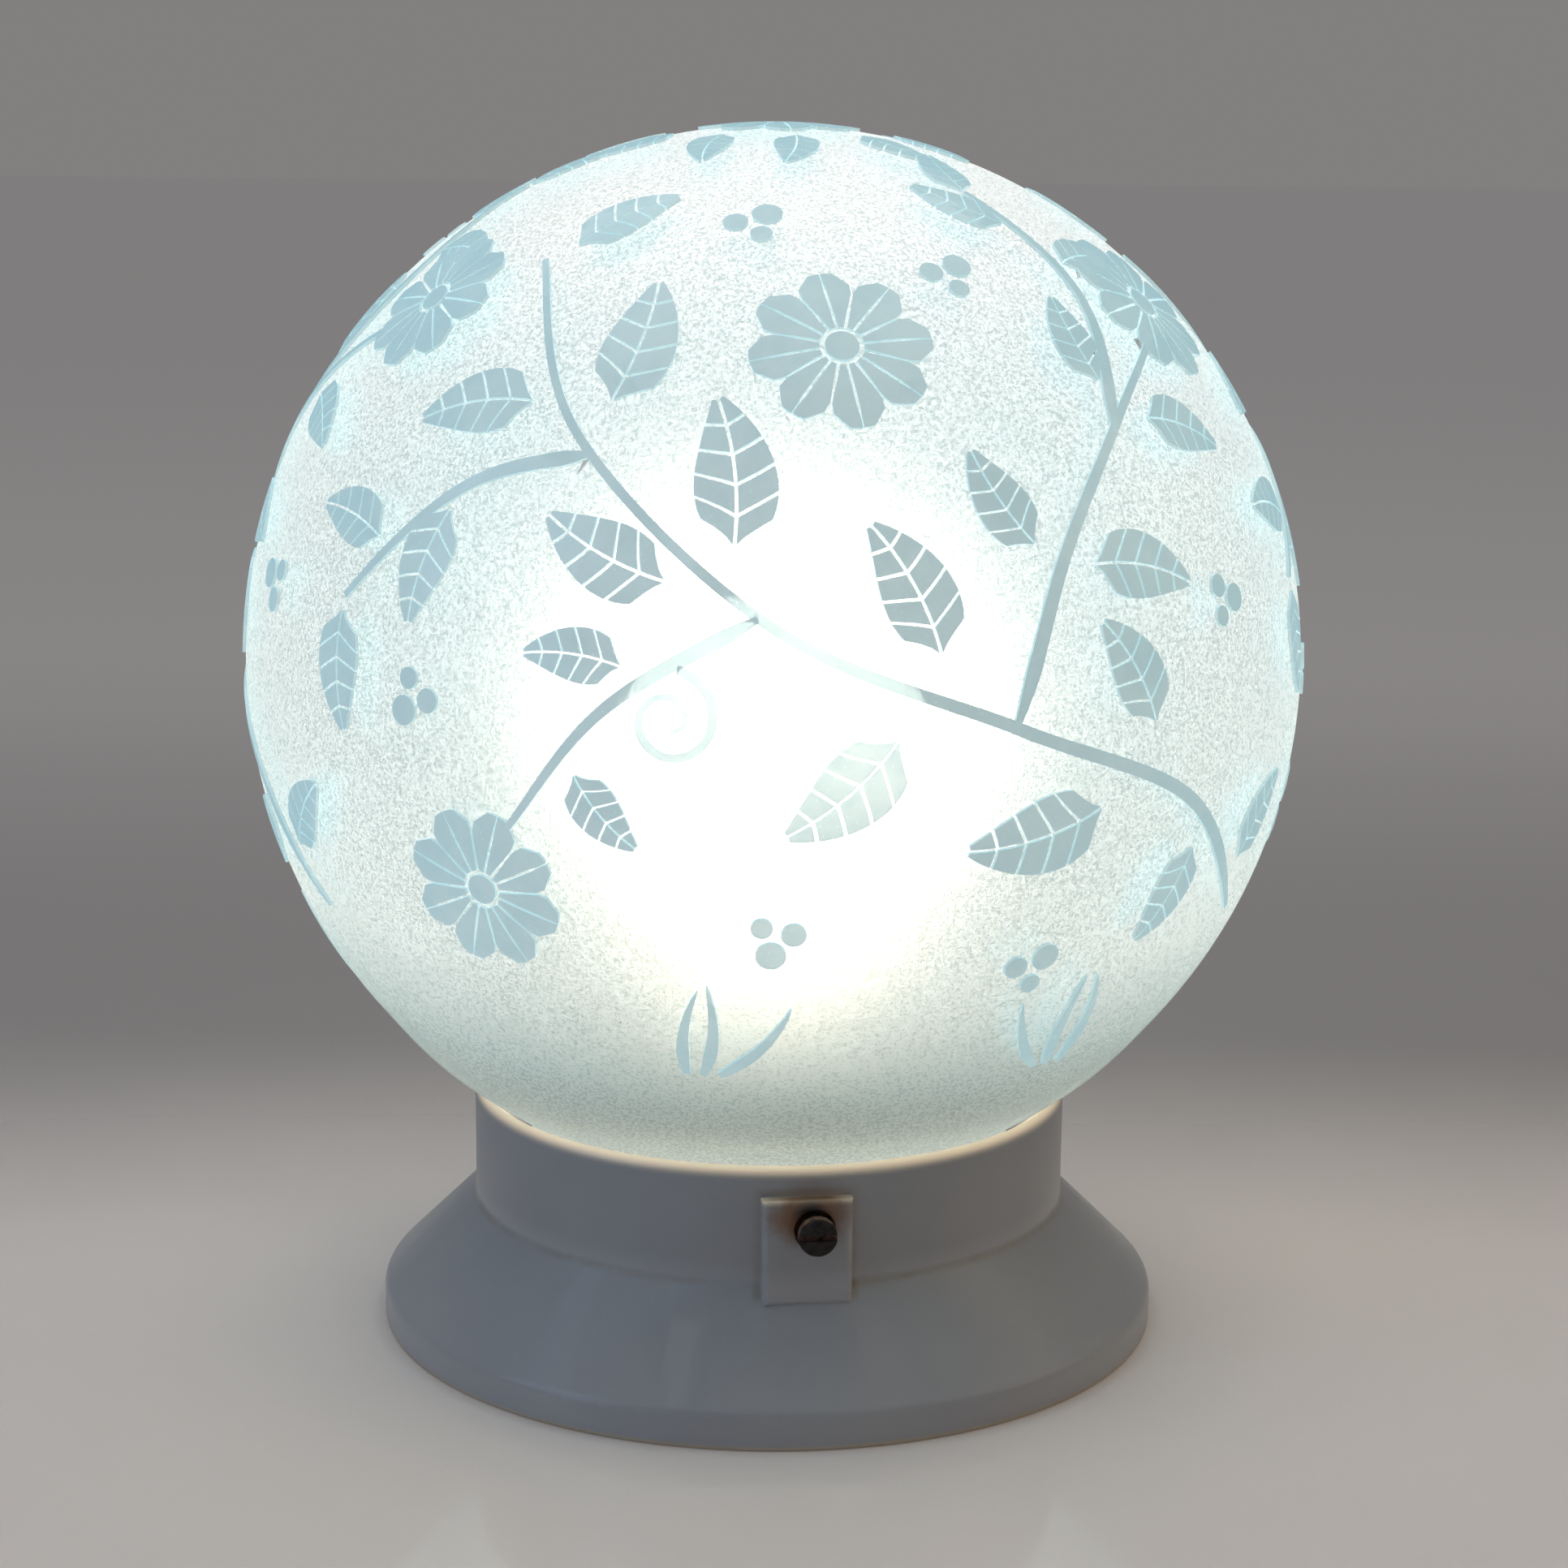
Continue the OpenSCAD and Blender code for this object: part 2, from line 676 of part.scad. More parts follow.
module connector_screws() {
    point = wire_d / 2 + wire_touch;
    color("silver") for (pole = POLES) clamps(pole) translate([0, 0, barrel_z]) mirror([0, 0, 1])
        clamp_screw(point, barrel_d / 2 + running);
}

module connector_bolt() {
    color("silver") translate([0, con_mid_y, web_z - con_h]) difference() {
        union() {
            rod(con_bolt_head_d, 0, con_bolt_head_h);
            rod(con_bolt_d, con_bolt_head_h, con_h + web_t + con_nut_h + nut_over);
        }
        mirror([0, 0, 1]) slot(con_bolt_head_d, clamp_slot, clamp_slot, 0);
    }
}

module connector_nut() {
    color("silver") translate([0, con_mid_y, well_z]) difference() {
        cylinder(d = 2 * con_bolt_d, h = con_nut_h, $fn = 6);
        rod(con_bolt_d + 2 * running, -past, con_nut_h + past);
    }
}

// A lead from its barrel, up through the floor and in to its terminal
module lead(pole) {
    low_y = riser_y + bend_r;
    high_y = riser_y - bend_r;
    translate([pole * pole_pitch / 2, 0, 0]) union() {
        translate([0, 0, barrel_z]) rotate([-90, 0, 0]) {
            rod(wire_d, con_y, con_mid_y - barrel_end);
            rod(lead_d, low_y, con_y);
        }
        translate([0, low_y, barrel_z + bend_r]) rotate([0, 90, 0]) rotate([0, 0, -90])
            rotate_extrude(angle = 90) translate([bend_r, 0]) circle(d = lead_d);
        translate([0, riser_y, 0]) rod(lead_d, barrel_z + bend_r, terminal_wire_z - bend_r);
        translate([0, high_y, terminal_wire_z - bend_r]) rotate([0, 90, 0]) rotate([0, 0, 90])
            rotate_extrude(angle = 90) translate([bend_r, 0]) circle(d = lead_d);
        translate([0, 0, terminal_wire_z]) rotate([-90, 0, 0])
            rod(wire_d, terminal_y + 2 * strip_t, high_y);
    }
}

module live_lead() {
    color("brown") lead(1);
}

module neutral_lead() {
    color("royalblue") lead(-1);
}

porcelain_base();
thread_bushes();
retaining_screw(0);  // retaining_screw_1
retaining_screw(1);  // retaining_screw_2
retaining_screw(2);  // retaining_screw_3
screw_tip(0);  // screw_tip_1
screw_tip(1);  // screw_tip_2
screw_tip(2);  // screw_tip_3
glass_globe();
globe_neck();
globe_lip();
lampholder_body();
screw_shell();
centre_contact();
shell_contact();
terminal(1);  // live_terminal
terminal(-1);  // neutral_terminal
terminal_screws();
holder_screws();
holder_nuts();
bulb_envelope();
bulb_cap();
bulb_insulator();
bulb_contact();
bulb_stem();
bulb_wires();
bulb_filament();
connector_block();
connector_barrels();
connector_screws();
connector_bolt();
connector_nut();
live_lead();
neutral_lead();
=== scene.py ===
"""Looks of a ceiling lamp: an etched glass globe on a glazed porcelain base, lit by its own bulb.

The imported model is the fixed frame. Every piece made here is in metres, in that frame, and rides
on the body of the node that it stands for.
"""

import logging
import math
import random
from collections.abc import Callable, Sequence
from dataclasses import dataclass, field
from enum import Enum
from typing import Protocol

import bpy
from mathutils import Matrix, Vector, noise


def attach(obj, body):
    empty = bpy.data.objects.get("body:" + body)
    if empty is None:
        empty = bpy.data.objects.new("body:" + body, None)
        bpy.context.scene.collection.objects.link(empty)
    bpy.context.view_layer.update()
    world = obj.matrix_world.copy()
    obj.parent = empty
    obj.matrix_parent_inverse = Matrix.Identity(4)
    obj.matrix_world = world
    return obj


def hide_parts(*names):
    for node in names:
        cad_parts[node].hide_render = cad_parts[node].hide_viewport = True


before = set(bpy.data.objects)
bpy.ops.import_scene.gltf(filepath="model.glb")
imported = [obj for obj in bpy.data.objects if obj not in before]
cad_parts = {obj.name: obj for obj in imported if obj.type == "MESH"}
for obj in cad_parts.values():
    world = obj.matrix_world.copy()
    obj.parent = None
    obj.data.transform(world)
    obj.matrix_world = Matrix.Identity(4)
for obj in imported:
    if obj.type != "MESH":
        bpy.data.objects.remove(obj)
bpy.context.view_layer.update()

log = logging.getLogger("ceiling_lamp")

MM = 0.001
PHOTO_PX = 1932
THIRD_TURN = 120.0
SCREW_Z = 35.6
BULB_PITCH = 3.63
GLASS_IOR = 1.46

Colour = tuple[float, float, float]
Point = tuple[float, float]
Spot = Callable[[float, float], Point]

BLACK: Colour = (0.0, 0.0, 0.0)


# Modelling moves


class Bench:
    """Moves that every piece is modelled with."""

    @staticmethod
    def clear() -> None:
        """Leaves edit mode and deselects everything."""
        if bpy.context.object and bpy.context.object.mode != "OBJECT":
            bpy.ops.object.mode_set(mode="OBJECT")
        bpy.ops.object.select_all(action="DESELECT")

    @staticmethod
    def pick(piece: bpy.types.Object, *others: bpy.types.Object) -> None:
        """Selects pieces alone and makes the first one active.

        Args:
            piece: The piece to make active.
            others: More pieces to select.
        """
        Bench.clear()
        for each in (piece, *others):
            each.select_set(True)
        bpy.context.view_layer.objects.active = piece

    @staticmethod
    def name(piece: bpy.types.Object, name: str) -> bpy.types.Object:
        """Names a piece and its mesh.

        Args:
            piece: The piece.
            name: Its new name.

        Returns:
            The same piece.
        """
        piece.name = name
        piece.data.name = name
        return piece

    @staticmethod
    def edit(piece: bpy.types.Object, *moves: Callable[[], object]) -> None:
        """Runs edit-mode operators on the whole mesh of a piece.

        Args:
            piece: The piece to edit.
            moves: Calls that each run one operator, with everything selected before each.
        """
        Bench.pick(piece)
        bpy.ops.object.mode_set(mode="EDIT")
        for move in moves:
            bpy.ops.mesh.select_all(action="SELECT")
            move()
        bpy.ops.object.mode_set(mode="OBJECT")

    @staticmethod
    def weld(piece: bpy.types.Object, distance: float = 1e-6) -> None:
        """Merges doubled points and turns the faces of a closed mesh outwards.

        Args:
            piece: The piece to weld.
            distance: How close doubled points lie, in metres.
        """
        Bench.edit(
            piece,
            lambda: bpy.ops.mesh.remove_doubles(threshold=distance),
            lambda: bpy.ops.mesh.normals_make_consistent(inside=False),
        )

    @staticmethod
    def lathe(name: str, outline: Sequence[Point], steps: int, closed: bool = False) -> bpy.types.Object:
        """Turns an outline about the Z axis.

        Args:
            name: The name of the new piece.
            outline: Points of radius and height, in millimetres.
            steps: How many steps make a full turn.
            closed: Whether the last point joins the first.

        Returns:
            The turned piece.
        """
        Bench.clear()
        bpy.ops.mesh.primitive_circle_add(vertices=len(outline), radius=1.0, fill_type="NOTHING")
        piece = Bench.name(bpy.context.object, name)
        for vertex, (radius, height) in zip(piece.data.vertices, outline):
            vertex.co = (radius * MM, 0.0, height * MM)
        if not closed:
            ends = {0, len(outline) - 1}
            for vertex in piece.data.vertices:
                vertex.select = vertex.index in ends
            for edge in piece.data.edges:
                edge.select = set(edge.vertices) == ends
            bpy.ops.object.mode_set(mode="EDIT")
            bpy.ops.mesh.delete(type="EDGE")
            bpy.ops.object.mode_set(mode="OBJECT")
        Bench.edit(
            piece,
            lambda: bpy.ops.mesh.spin(steps=steps, angle=2 * math.pi, center=(0, 0, 0), axis=(0, 0, 1)),
        )
        Bench.weld(piece)
        return piece

    @staticmethod
    def sheet(name: str, across: int, up: int, spot: Spot) -> bpy.types.Object:
        """Lays a flat grid out by a rule.

        Args:
            name: The name of the new piece.
            across: Faces along the first share.
            up: Faces along the second share.
            spot: Gives the place of a point, in millimetres, from its two shares of the grid.

        Returns:
            The sheet, flat at height zero.
        """
        Bench.clear()
        bpy.ops.mesh.primitive_grid_add(x_subdivisions=across, y_subdivisions=up, size=1.0)
        piece = Bench.name(bpy.context.object, name)
        for vertex in piece.data.vertices:
            x, y = spot(vertex.co.x + 0.5, vertex.co.y + 0.5)
            vertex.co = (x * MM, y * MM, 0.0)
        return piece

    @staticmethod
    def disc(name: str, radius: float, sides: int, centre: Point = (0.0, 0.0)) -> bpy.types.Object:
        """Lays out a flat disc, in millimetres, with a ring inset in it.

        Args:
            name: The name of the new piece.
            radius: Its radius, in millimetres.
            sides: How many sides it has.
            centre: Where its centre lies, in millimetres.

        Returns:
            The disc, flat at height zero.
        """
        Bench.clear()
        bpy.ops.mesh.primitive_circle_add(vertices=sides, radius=radius * MM, fill_type="NGON")
        piece = Bench.name(bpy.context.object, name)
        Bench.edit(piece, lambda: bpy.ops.mesh.inset(thickness=radius * MM * 0.4))
        for vertex in piece.data.vertices:
            vertex.co += Vector((centre[0] * MM, centre[1] * MM, 0.0))
        return piece

    @staticmethod
    def join(name: str, pieces: Sequence[bpy.types.Object]) -> bpy.types.Object:
        """Joins pieces into the first one and names it.

        Args:
            name: The name of the joined piece.
            pieces: The pieces to join.

        Returns:
            The joined piece.
        """
        Bench.pick(*pieces)
        bpy.ops.object.join()
        return Bench.name(bpy.context.object, name)

    @staticmethod
    def copy(piece: bpy.types.Object, name: str) -> bpy.types.Object:
        """Copies a piece with a mesh of its own, free of any parent.

        Args:
            piece: The piece to copy.
            name: The name of the copy.

        Returns:
            The copy.
        """
        Bench.pick(piece)
        bpy.ops.object.duplicate(linked=False)
        twin = Bench.name(bpy.context.object, name)
        twin.parent = None
        for key in [key for key in twin.keys() if key.startswith("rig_")]:
            del twin[key]
        return twin

    @staticmethod
    def modify(piece: bpy.types.Object, kind: str, **settings: object) -> None:
        """Adds a modifier with its settings and applies it.

        Args:
            piece: The piece to shape.
            kind: The modifier's type.
            settings: Its settings, by name.
        """
        Bench.pick(piece)
        modifier = piece.modifiers.new(kind.title(), kind)
        for key, value in settings.items():
            setattr(modifier, key, value)
        bpy.ops.object.modifier_apply(modifier=modifier.name)

    @staticmethod
    def cut(piece: bpy.types.Object, tool: bpy.types.Object, operation: str = "DIFFERENCE") -> None:
        """Joins or cuts a piece with a tool mesh, which is then removed."""
        Bench.modify(piece, "BOOLEAN", object=tool, operation=operation, solver="MANIFOLD")
        bpy.data.objects.remove(tool)

    @staticmethod
    def smooth(piece: bpy.types.Object, degrees: float) -> None:
        """Shades a piece smooth, with creases sharper than an angle left hard."""
        Bench.pick(piece)
        bpy.ops.object.shade_smooth_by_angle(angle=math.radians(degrees))

    @staticmethod
    def place(piece: bpy.types.Object, matrix: Matrix) -> None:
        """Moves a piece's mesh, so that its object stays at the origin."""
        piece.data.transform(matrix)
        piece.data.update()


def spread(low: float, high: float, steps: int) -> list[float]:
    """Even steps from one value to another, with both ends."""
    return [low + (high - low) * k / steps for k in range(steps + 1)]


def bent(x: float, y: float, curve: float) -> Point:
    """A point beside a line that leaves the origin along +X and bends evenly.

    Args:
        x: How far along the line the point lies, in millimetres.
        y: How far it lies to the left of the line.
        curve: The line's bend, in radians per millimetre.

    Returns:
        The point.
    """
    angle = curve * x
    return (math.sin(angle) / curve - y * math.sin(angle),
            (1.0 - math.cos(angle)) / curve + y * math.cos(angle))


def arc(centre: Point, radius: float, start: float, end: float, steps: int) -> list[Point]:
    """Points of an arc in the outline plane.

    Args:
        centre: Its centre.
        radius: Its radius.
        start: The first angle, in degrees from the outward direction.
        end: The last angle.
        steps: How many steps it has.

    Returns:
        The points, with both ends.
    """
    angles = [math.radians(angle) for angle in spread(start, end, steps)]
    return [(centre[0] + radius * math.cos(a), centre[1] + radius * math.sin(a)) for a in angles]


# Shaders


class Sock:
    """A shader socket that Python's operators work on, each of which adds a Math node."""

    def __init__(self, shader: "Shader", socket: bpy.types.NodeSocket) -> None:
        """Holds a socket of a shader."""
        self.shader = shader
        self.socket = socket

    def fn(self, operation: str, *others: object) -> "Sock":
        """A Math node of this value and others."""
        return self.shader.node("Math", {"operation": operation}, dict(enumerate((self, *others))))

    def __add__(self, other: object) -> "Sock":
        """This value and another."""
        return self.fn("ADD", other)

    def __sub__(self, other: object) -> "Sock":
        """This value less another."""
        return self.fn("SUBTRACT", other)

    def __mul__(self, other: object) -> "Sock":
        """This value times another."""
        return self.fn("MULTIPLY", other)

    def __truediv__(self, other: object) -> "Sock":
        """This value over another."""
        return self.fn("DIVIDE", other)

    def __rsub__(self, other: float) -> "Sock":
        """A number less this value."""
        return self.shader.node("Math", {"operation": "SUBTRACT"}, {0: other, 1: self})

    __radd__ = __add__
    __rmul__ = __mul__

    def step(self, low: float, high: float) -> "Sock":
        """A soft step from 0 at one value to 1 at another.

        Args:
            low: Where the step is still 0.
            high: Where it reaches 1.

        Returns:
            The step.
        """
        return self.shader.node(
            "MapRange",
            {"interpolation_type": "SMOOTHSTEP"},
            {"Value": self, "From Min": low, "From Max": high},
        )

    def near(self, value: float, reach: float) -> "Sock":
        """1 at a value, falling softly to 0 at a reach from it."""
        return 1.0 - (self - value).fn("ABSOLUTE").step(0.0, reach)


class Shader:
    """The node tree of one material or world."""

    def __init__(self, owner: bpy.types.Material | bpy.types.World) -> None:
        """Empties the node tree of its owner.

        Args:
            owner: The new material or world.
        """
        self.owner = owner
        self.owner.use_nodes = True
        self.tree = self.owner.node_tree
        self.tree.nodes.clear()

    @classmethod
    def named(cls, name: str) -> "Shader":
        """Starts an empty material of a name."""
        return cls(bpy.data.materials.new(name))

    def node(
        self, kind: str, settings: dict[str, object], inputs: dict[object, object], out: object = 0
    ) -> Sock:
        """Adds a node.

        Args:
            kind: The node's type, without its ShaderNode prefix.
            settings: Its settings, set first. The key stops holds a ramp's places and colours.
            inputs: Values or links of its sockets, by name or index.
            out: The name or index of the output that is given back.

        Returns:
            That output.
        """
        node = self.tree.nodes.new("ShaderNode" + kind)
        for key, value in settings.items():
            if key == "stops":
                self._set_stops(node.color_ramp, value)
            else:
                setattr(node, key, value)
        for key, value in inputs.items():
            if isinstance(value, Sock):
                self.tree.links.new(value.socket, node.inputs[key])
            elif isinstance(value, tuple) and node.inputs[key].type == "RGBA":
                node.inputs[key].default_value = (*value, 1.0)
            else:
                node.inputs[key].default_value = value
        return Sock(self, node.outputs[out])

    @staticmethod
    def _set_stops(ramp: bpy.types.ColorRamp, stops: Sequence[tuple[float, Colour]]) -> None:
        """Sets the places and colours of a ramp.

        Args:
            ramp: The ramp.
            stops: Its places, from 0 to 1, each with a colour.
        """
        while len(ramp.elements) < len(stops):
            ramp.elements.new(1.0)
        for element, (place, colour) in zip(ramp.elements, stops):
            element.position = place
            element.color = (*colour, 1.0)

    def coords(self) -> Sock:
        """Object coordinates, in metres."""
        return self.node("TexCoord", {}, {}, "Object")

    def axes(self) -> tuple[Sock, Sock, Sock]:
        """The three object coordinates apart.

        Returns:
            X, Y and Z, in metres.
        """
        split = self.node("SeparateXYZ", {}, {0: self.coords()})
        outputs = split.socket.node.outputs
        return Sock(self, outputs[0]), Sock(self, outputs[1]), Sock(self, outputs[2])

    def noise(self, scale: float, detail: float = 3.0, rough: float = 0.55) -> Sock:
        """Noise on object coordinates, about 0.5.

        Args:
            scale: Its scale, in waves per metre.
            detail: How many finer layers it has.
            rough: How strong each finer layer is.

        Returns:
            The noise.
        """
        return self.node(
            "TexNoise",
            {},
            {"Vector": self.coords(), "Scale": scale, "Detail": detail, "Roughness": rough},
        )

    def specks(self, scale: float, size: float) -> Sock:
        """1 in small scattered round specks and 0 between them."""
        cell = self.node("TexVoronoi", {}, {"Vector": self.coords(), "Scale": scale}, "Distance")
        return 1.0 - cell.step(size * 0.6, size)

    def mix(self, factor: object, one: object, two: object) -> Sock:
        """A colour between two."""
        return self.node("Mix", {"data_type": "RGBA"}, {0: factor, 6: one, 7: two}, 2)

    def bump(self, height: Sock, depth: float, strength: float = 1.0) -> Sock:
        """A normal bent by a height, whose full swing is a depth in millimetres."""
        return self.node("Bump", {}, {"Strength": strength, "Distance": depth * MM, "Height": height})

    def surface(self, **inputs: object) -> bpy.types.Material:
        """Ends the tree in a Principled shader.

        Args:
            inputs: Its sockets, with underscores for the spaces of their names.

        Returns:
            The material.
        """
        named = {key.replace("_", " "): value for key, value in inputs.items()}
        shader = self.node("BsdfPrincipled", {}, named)
        self.end(shader, "ShaderNodeOutputMaterial")
        return self.owner

    def end(self, shader: Sock, kind: str) -> None:
        """Links a shader to an output node of a kind, which ends the tree."""
        output = self.tree.nodes.new(kind)
        self.tree.links.new(shader.socket, output.inputs["Surface"])


# Finishes


class Finish(Protocol):
    """What every finish has: a way to make its material."""

    def make(self) -> bpy.types.Material:
        """Builds the material."""
        ...


@dataclass(frozen=True)
class FrostedGlass:
    """Sandblasted outside of the globe, with the glow that its grain scatters."""

    tint: Colour = (1.0, 1.0, 0.99)
    shade: Colour = (0.53, 0.57, 0.56)
    roughness: float = 0.72
    grain: float = 1600.0
    grain_depth: float = 0.12
    flecks: tuple[float, float] = (0.40, 0.58)
    glow: float = 0.42
    dim_glow: Colour = (0.1, 0.14, 0.14)
    dim_share: float = 0.58
    dust: Colour = (0.1, 0.09, 0.08)
    low_z: float = 40.0
    high_z: float = 229.0
    glow_by_height: tuple[tuple[float, Colour], ...] = (
        (0.0, (0.42, 0.42, 0.36)),
        (0.03, (0.30, 0.36, 0.33)),
        (0.07, (0.08, 0.13, 0.125)),
        (0.14, (0.25, 0.36, 0.35)),
        (0.26, (0.78, 0.88, 0.84)),
        (0.7, (0.86, 0.95, 0.94)),
        (1.0, (1.0, 1.0, 0.99)),
    )

    def make(self) -> bpy.types.Material:
        """Builds the material.

        Returns:
            The material.
        """
        s = Shader.named("frosted_glass")
        _, _, z = s.axes()
        height = (z / MM - self.low_z) / (self.high_z - self.low_z)
        light = s.node("ValToRGB", {"stops": self.glow_by_height}, {0: height})
        grain = s.noise(self.grain, 3.0, 0.75)
        bright = grain.step(*self.flecks)
        dust = s.specks(24.0, 0.012)
        glow = s.mix(bright, s.mix(self.dim_share, light, self.dim_glow), light)
        return s.surface(
            Base_Color=s.mix(dust, s.mix(bright, self.shade, self.tint), self.dust),
            Roughness=self.roughness + (grain - 0.5) * 0.3,
            IOR=GLASS_IOR,
            Transmission_Weight=1.0,
            Emission_Color=s.mix(dust, glow, BLACK),
            Emission_Strength=self.glow,
            Normal=s.bump(grain, self.grain_depth),
        )


@dataclass(frozen=True)
class FigureGlass:
    """Smooth glass of the raised figures, dull aqua, with a painted glow for the bulb's light through
    them, bluer seen edge on.
    """

    tint: Colour = (0.50, 0.63, 0.65)
    shade: Colour = (0.40, 0.55, 0.59)
    # These three colours are painted glow: the bulb's light through the figures, painted in as emission
    # that turns bluer edge on.
    front: Colour = (0.33, 0.42, 0.42)
    edge: Colour = (0.20, 0.47, 0.56)
    cloudy_glow: Colour = (0.42, 0.52, 0.52)
    clear: float = 0.07
    roughness: float = 0.08
    glow: float = 0.75

    def make(self) -> bpy.types.Material:
        """Builds the material.

        Returns:
            The material.
        """
        s = Shader.named("figure_glass")
        cloud = s.noise(90.0)
        pits = s.specks(700.0, 0.16)
        facing = s.node("LayerWeight", {}, {"Blend": 0.35}, "Facing")
        return s.surface(
            Base_Color=s.mix(cloud.step(0.35, 0.65), self.shade, self.tint),
            Roughness=self.roughness + pits * 0.35 + cloud * 0.06,
            IOR=GLASS_IOR,
            Transmission_Weight=self.clear,
            # Painted glow, bluer where the figures face edge on.
            Emission_Color=s.mix(cloud * 0.3, s.mix(facing, self.front, self.edge), self.cloudy_glow),
            Emission_Strength=self.glow,
            Normal=s.bump(cloud, 0.25),
        )


@dataclass(frozen=True)
class ClearGlass:
    """Smooth inside of a blown glass wall."""

    name: str
    tint: Colour = (0.93, 0.98, 0.985)
    roughness: float = 0.05

    def make(self) -> bpy.types.Material:
        """Builds the material.

        Returns:
            The material.
        """
        s = Shader.named(self.name)
        wave = s.noise(60.0, 2.0)
        return s.surface(
            Base_Color=s.mix(wave, tuple(c * 0.96 for c in self.tint), self.tint),
            Roughness=self.roughness + wave * 0.05,
            IOR=GLASS_IOR,
            Transmission_Weight=1.0,
            Normal=s.bump(wave, 0.15),
        )


@dataclass(frozen=True)
class BulbGlow:
    """Pearl glass of the lit bulb."""

    lit: Colour = (1.0, 0.93, 0.80)
    edge: Colour = (0.30, 0.25, 0.19)
    dull: Colour = (0.88, 0.87, 0.84)
    pearl: Colour = (0.95, 0.94, 0.92)
    strength: float = 5.0
    low_z: float = 80.0
    high_z: float = 128.0

    def make(self) -> bpy.types.Material:
        """Builds the material.

        Returns:
            The material.
        """
        s = Shader.named("bulb_glass")
        _, _, z = s.axes()
        mist = s.noise(240.0)
        rise = z.step(self.low_z * MM, self.high_z * MM)
        lit = s.mix(rise, self.edge, self.lit)
        return s.surface(
            Base_Color=s.mix(mist, self.dull, self.pearl),
            Roughness=0.35 + mist * 0.2,
            IOR=GLASS_IOR,
            Transmission_Weight=0.4,
            Emission_Color=s.mix(mist.step(0.2, 0.8), lit, s.mix(0.92, BLACK, lit)),
            Emission_Strength=self.strength,
        )


@dataclass(frozen=True)
class BaseMap:
    """Where a point of the base lies, in millimetres, and the two noises of its glaze there."""

    radius: Sock
    height: Sock
    along: Sock
    outward: Sock
    broad: Sock
    fine: Sock

    @classmethod
    def of(cls, s: Shader) -> "BaseMap":
        """Measures a point from the lamp's axis and from the middle of the nearest pad.

        Args:
            s: The shader to measure in.

        Returns:
            The measures.
        """
        x, y, z = s.axes()
        radius = (x * x + y * y).fn("SQRT") / MM
        third = math.radians(THIRD_TURN)
        angle = (y.fn("ARCTAN2", x) + math.radians(90.0)).fn("WRAP", third / 2, -third / 2)
        return cls(
            radius=radius,
            height=z / MM,
            along=radius * angle.fn("SINE"),
            outward=radius * angle.fn("COSINE"),
            broad=s.noise(28.0),
            fine=s.noise(420.0),
        )


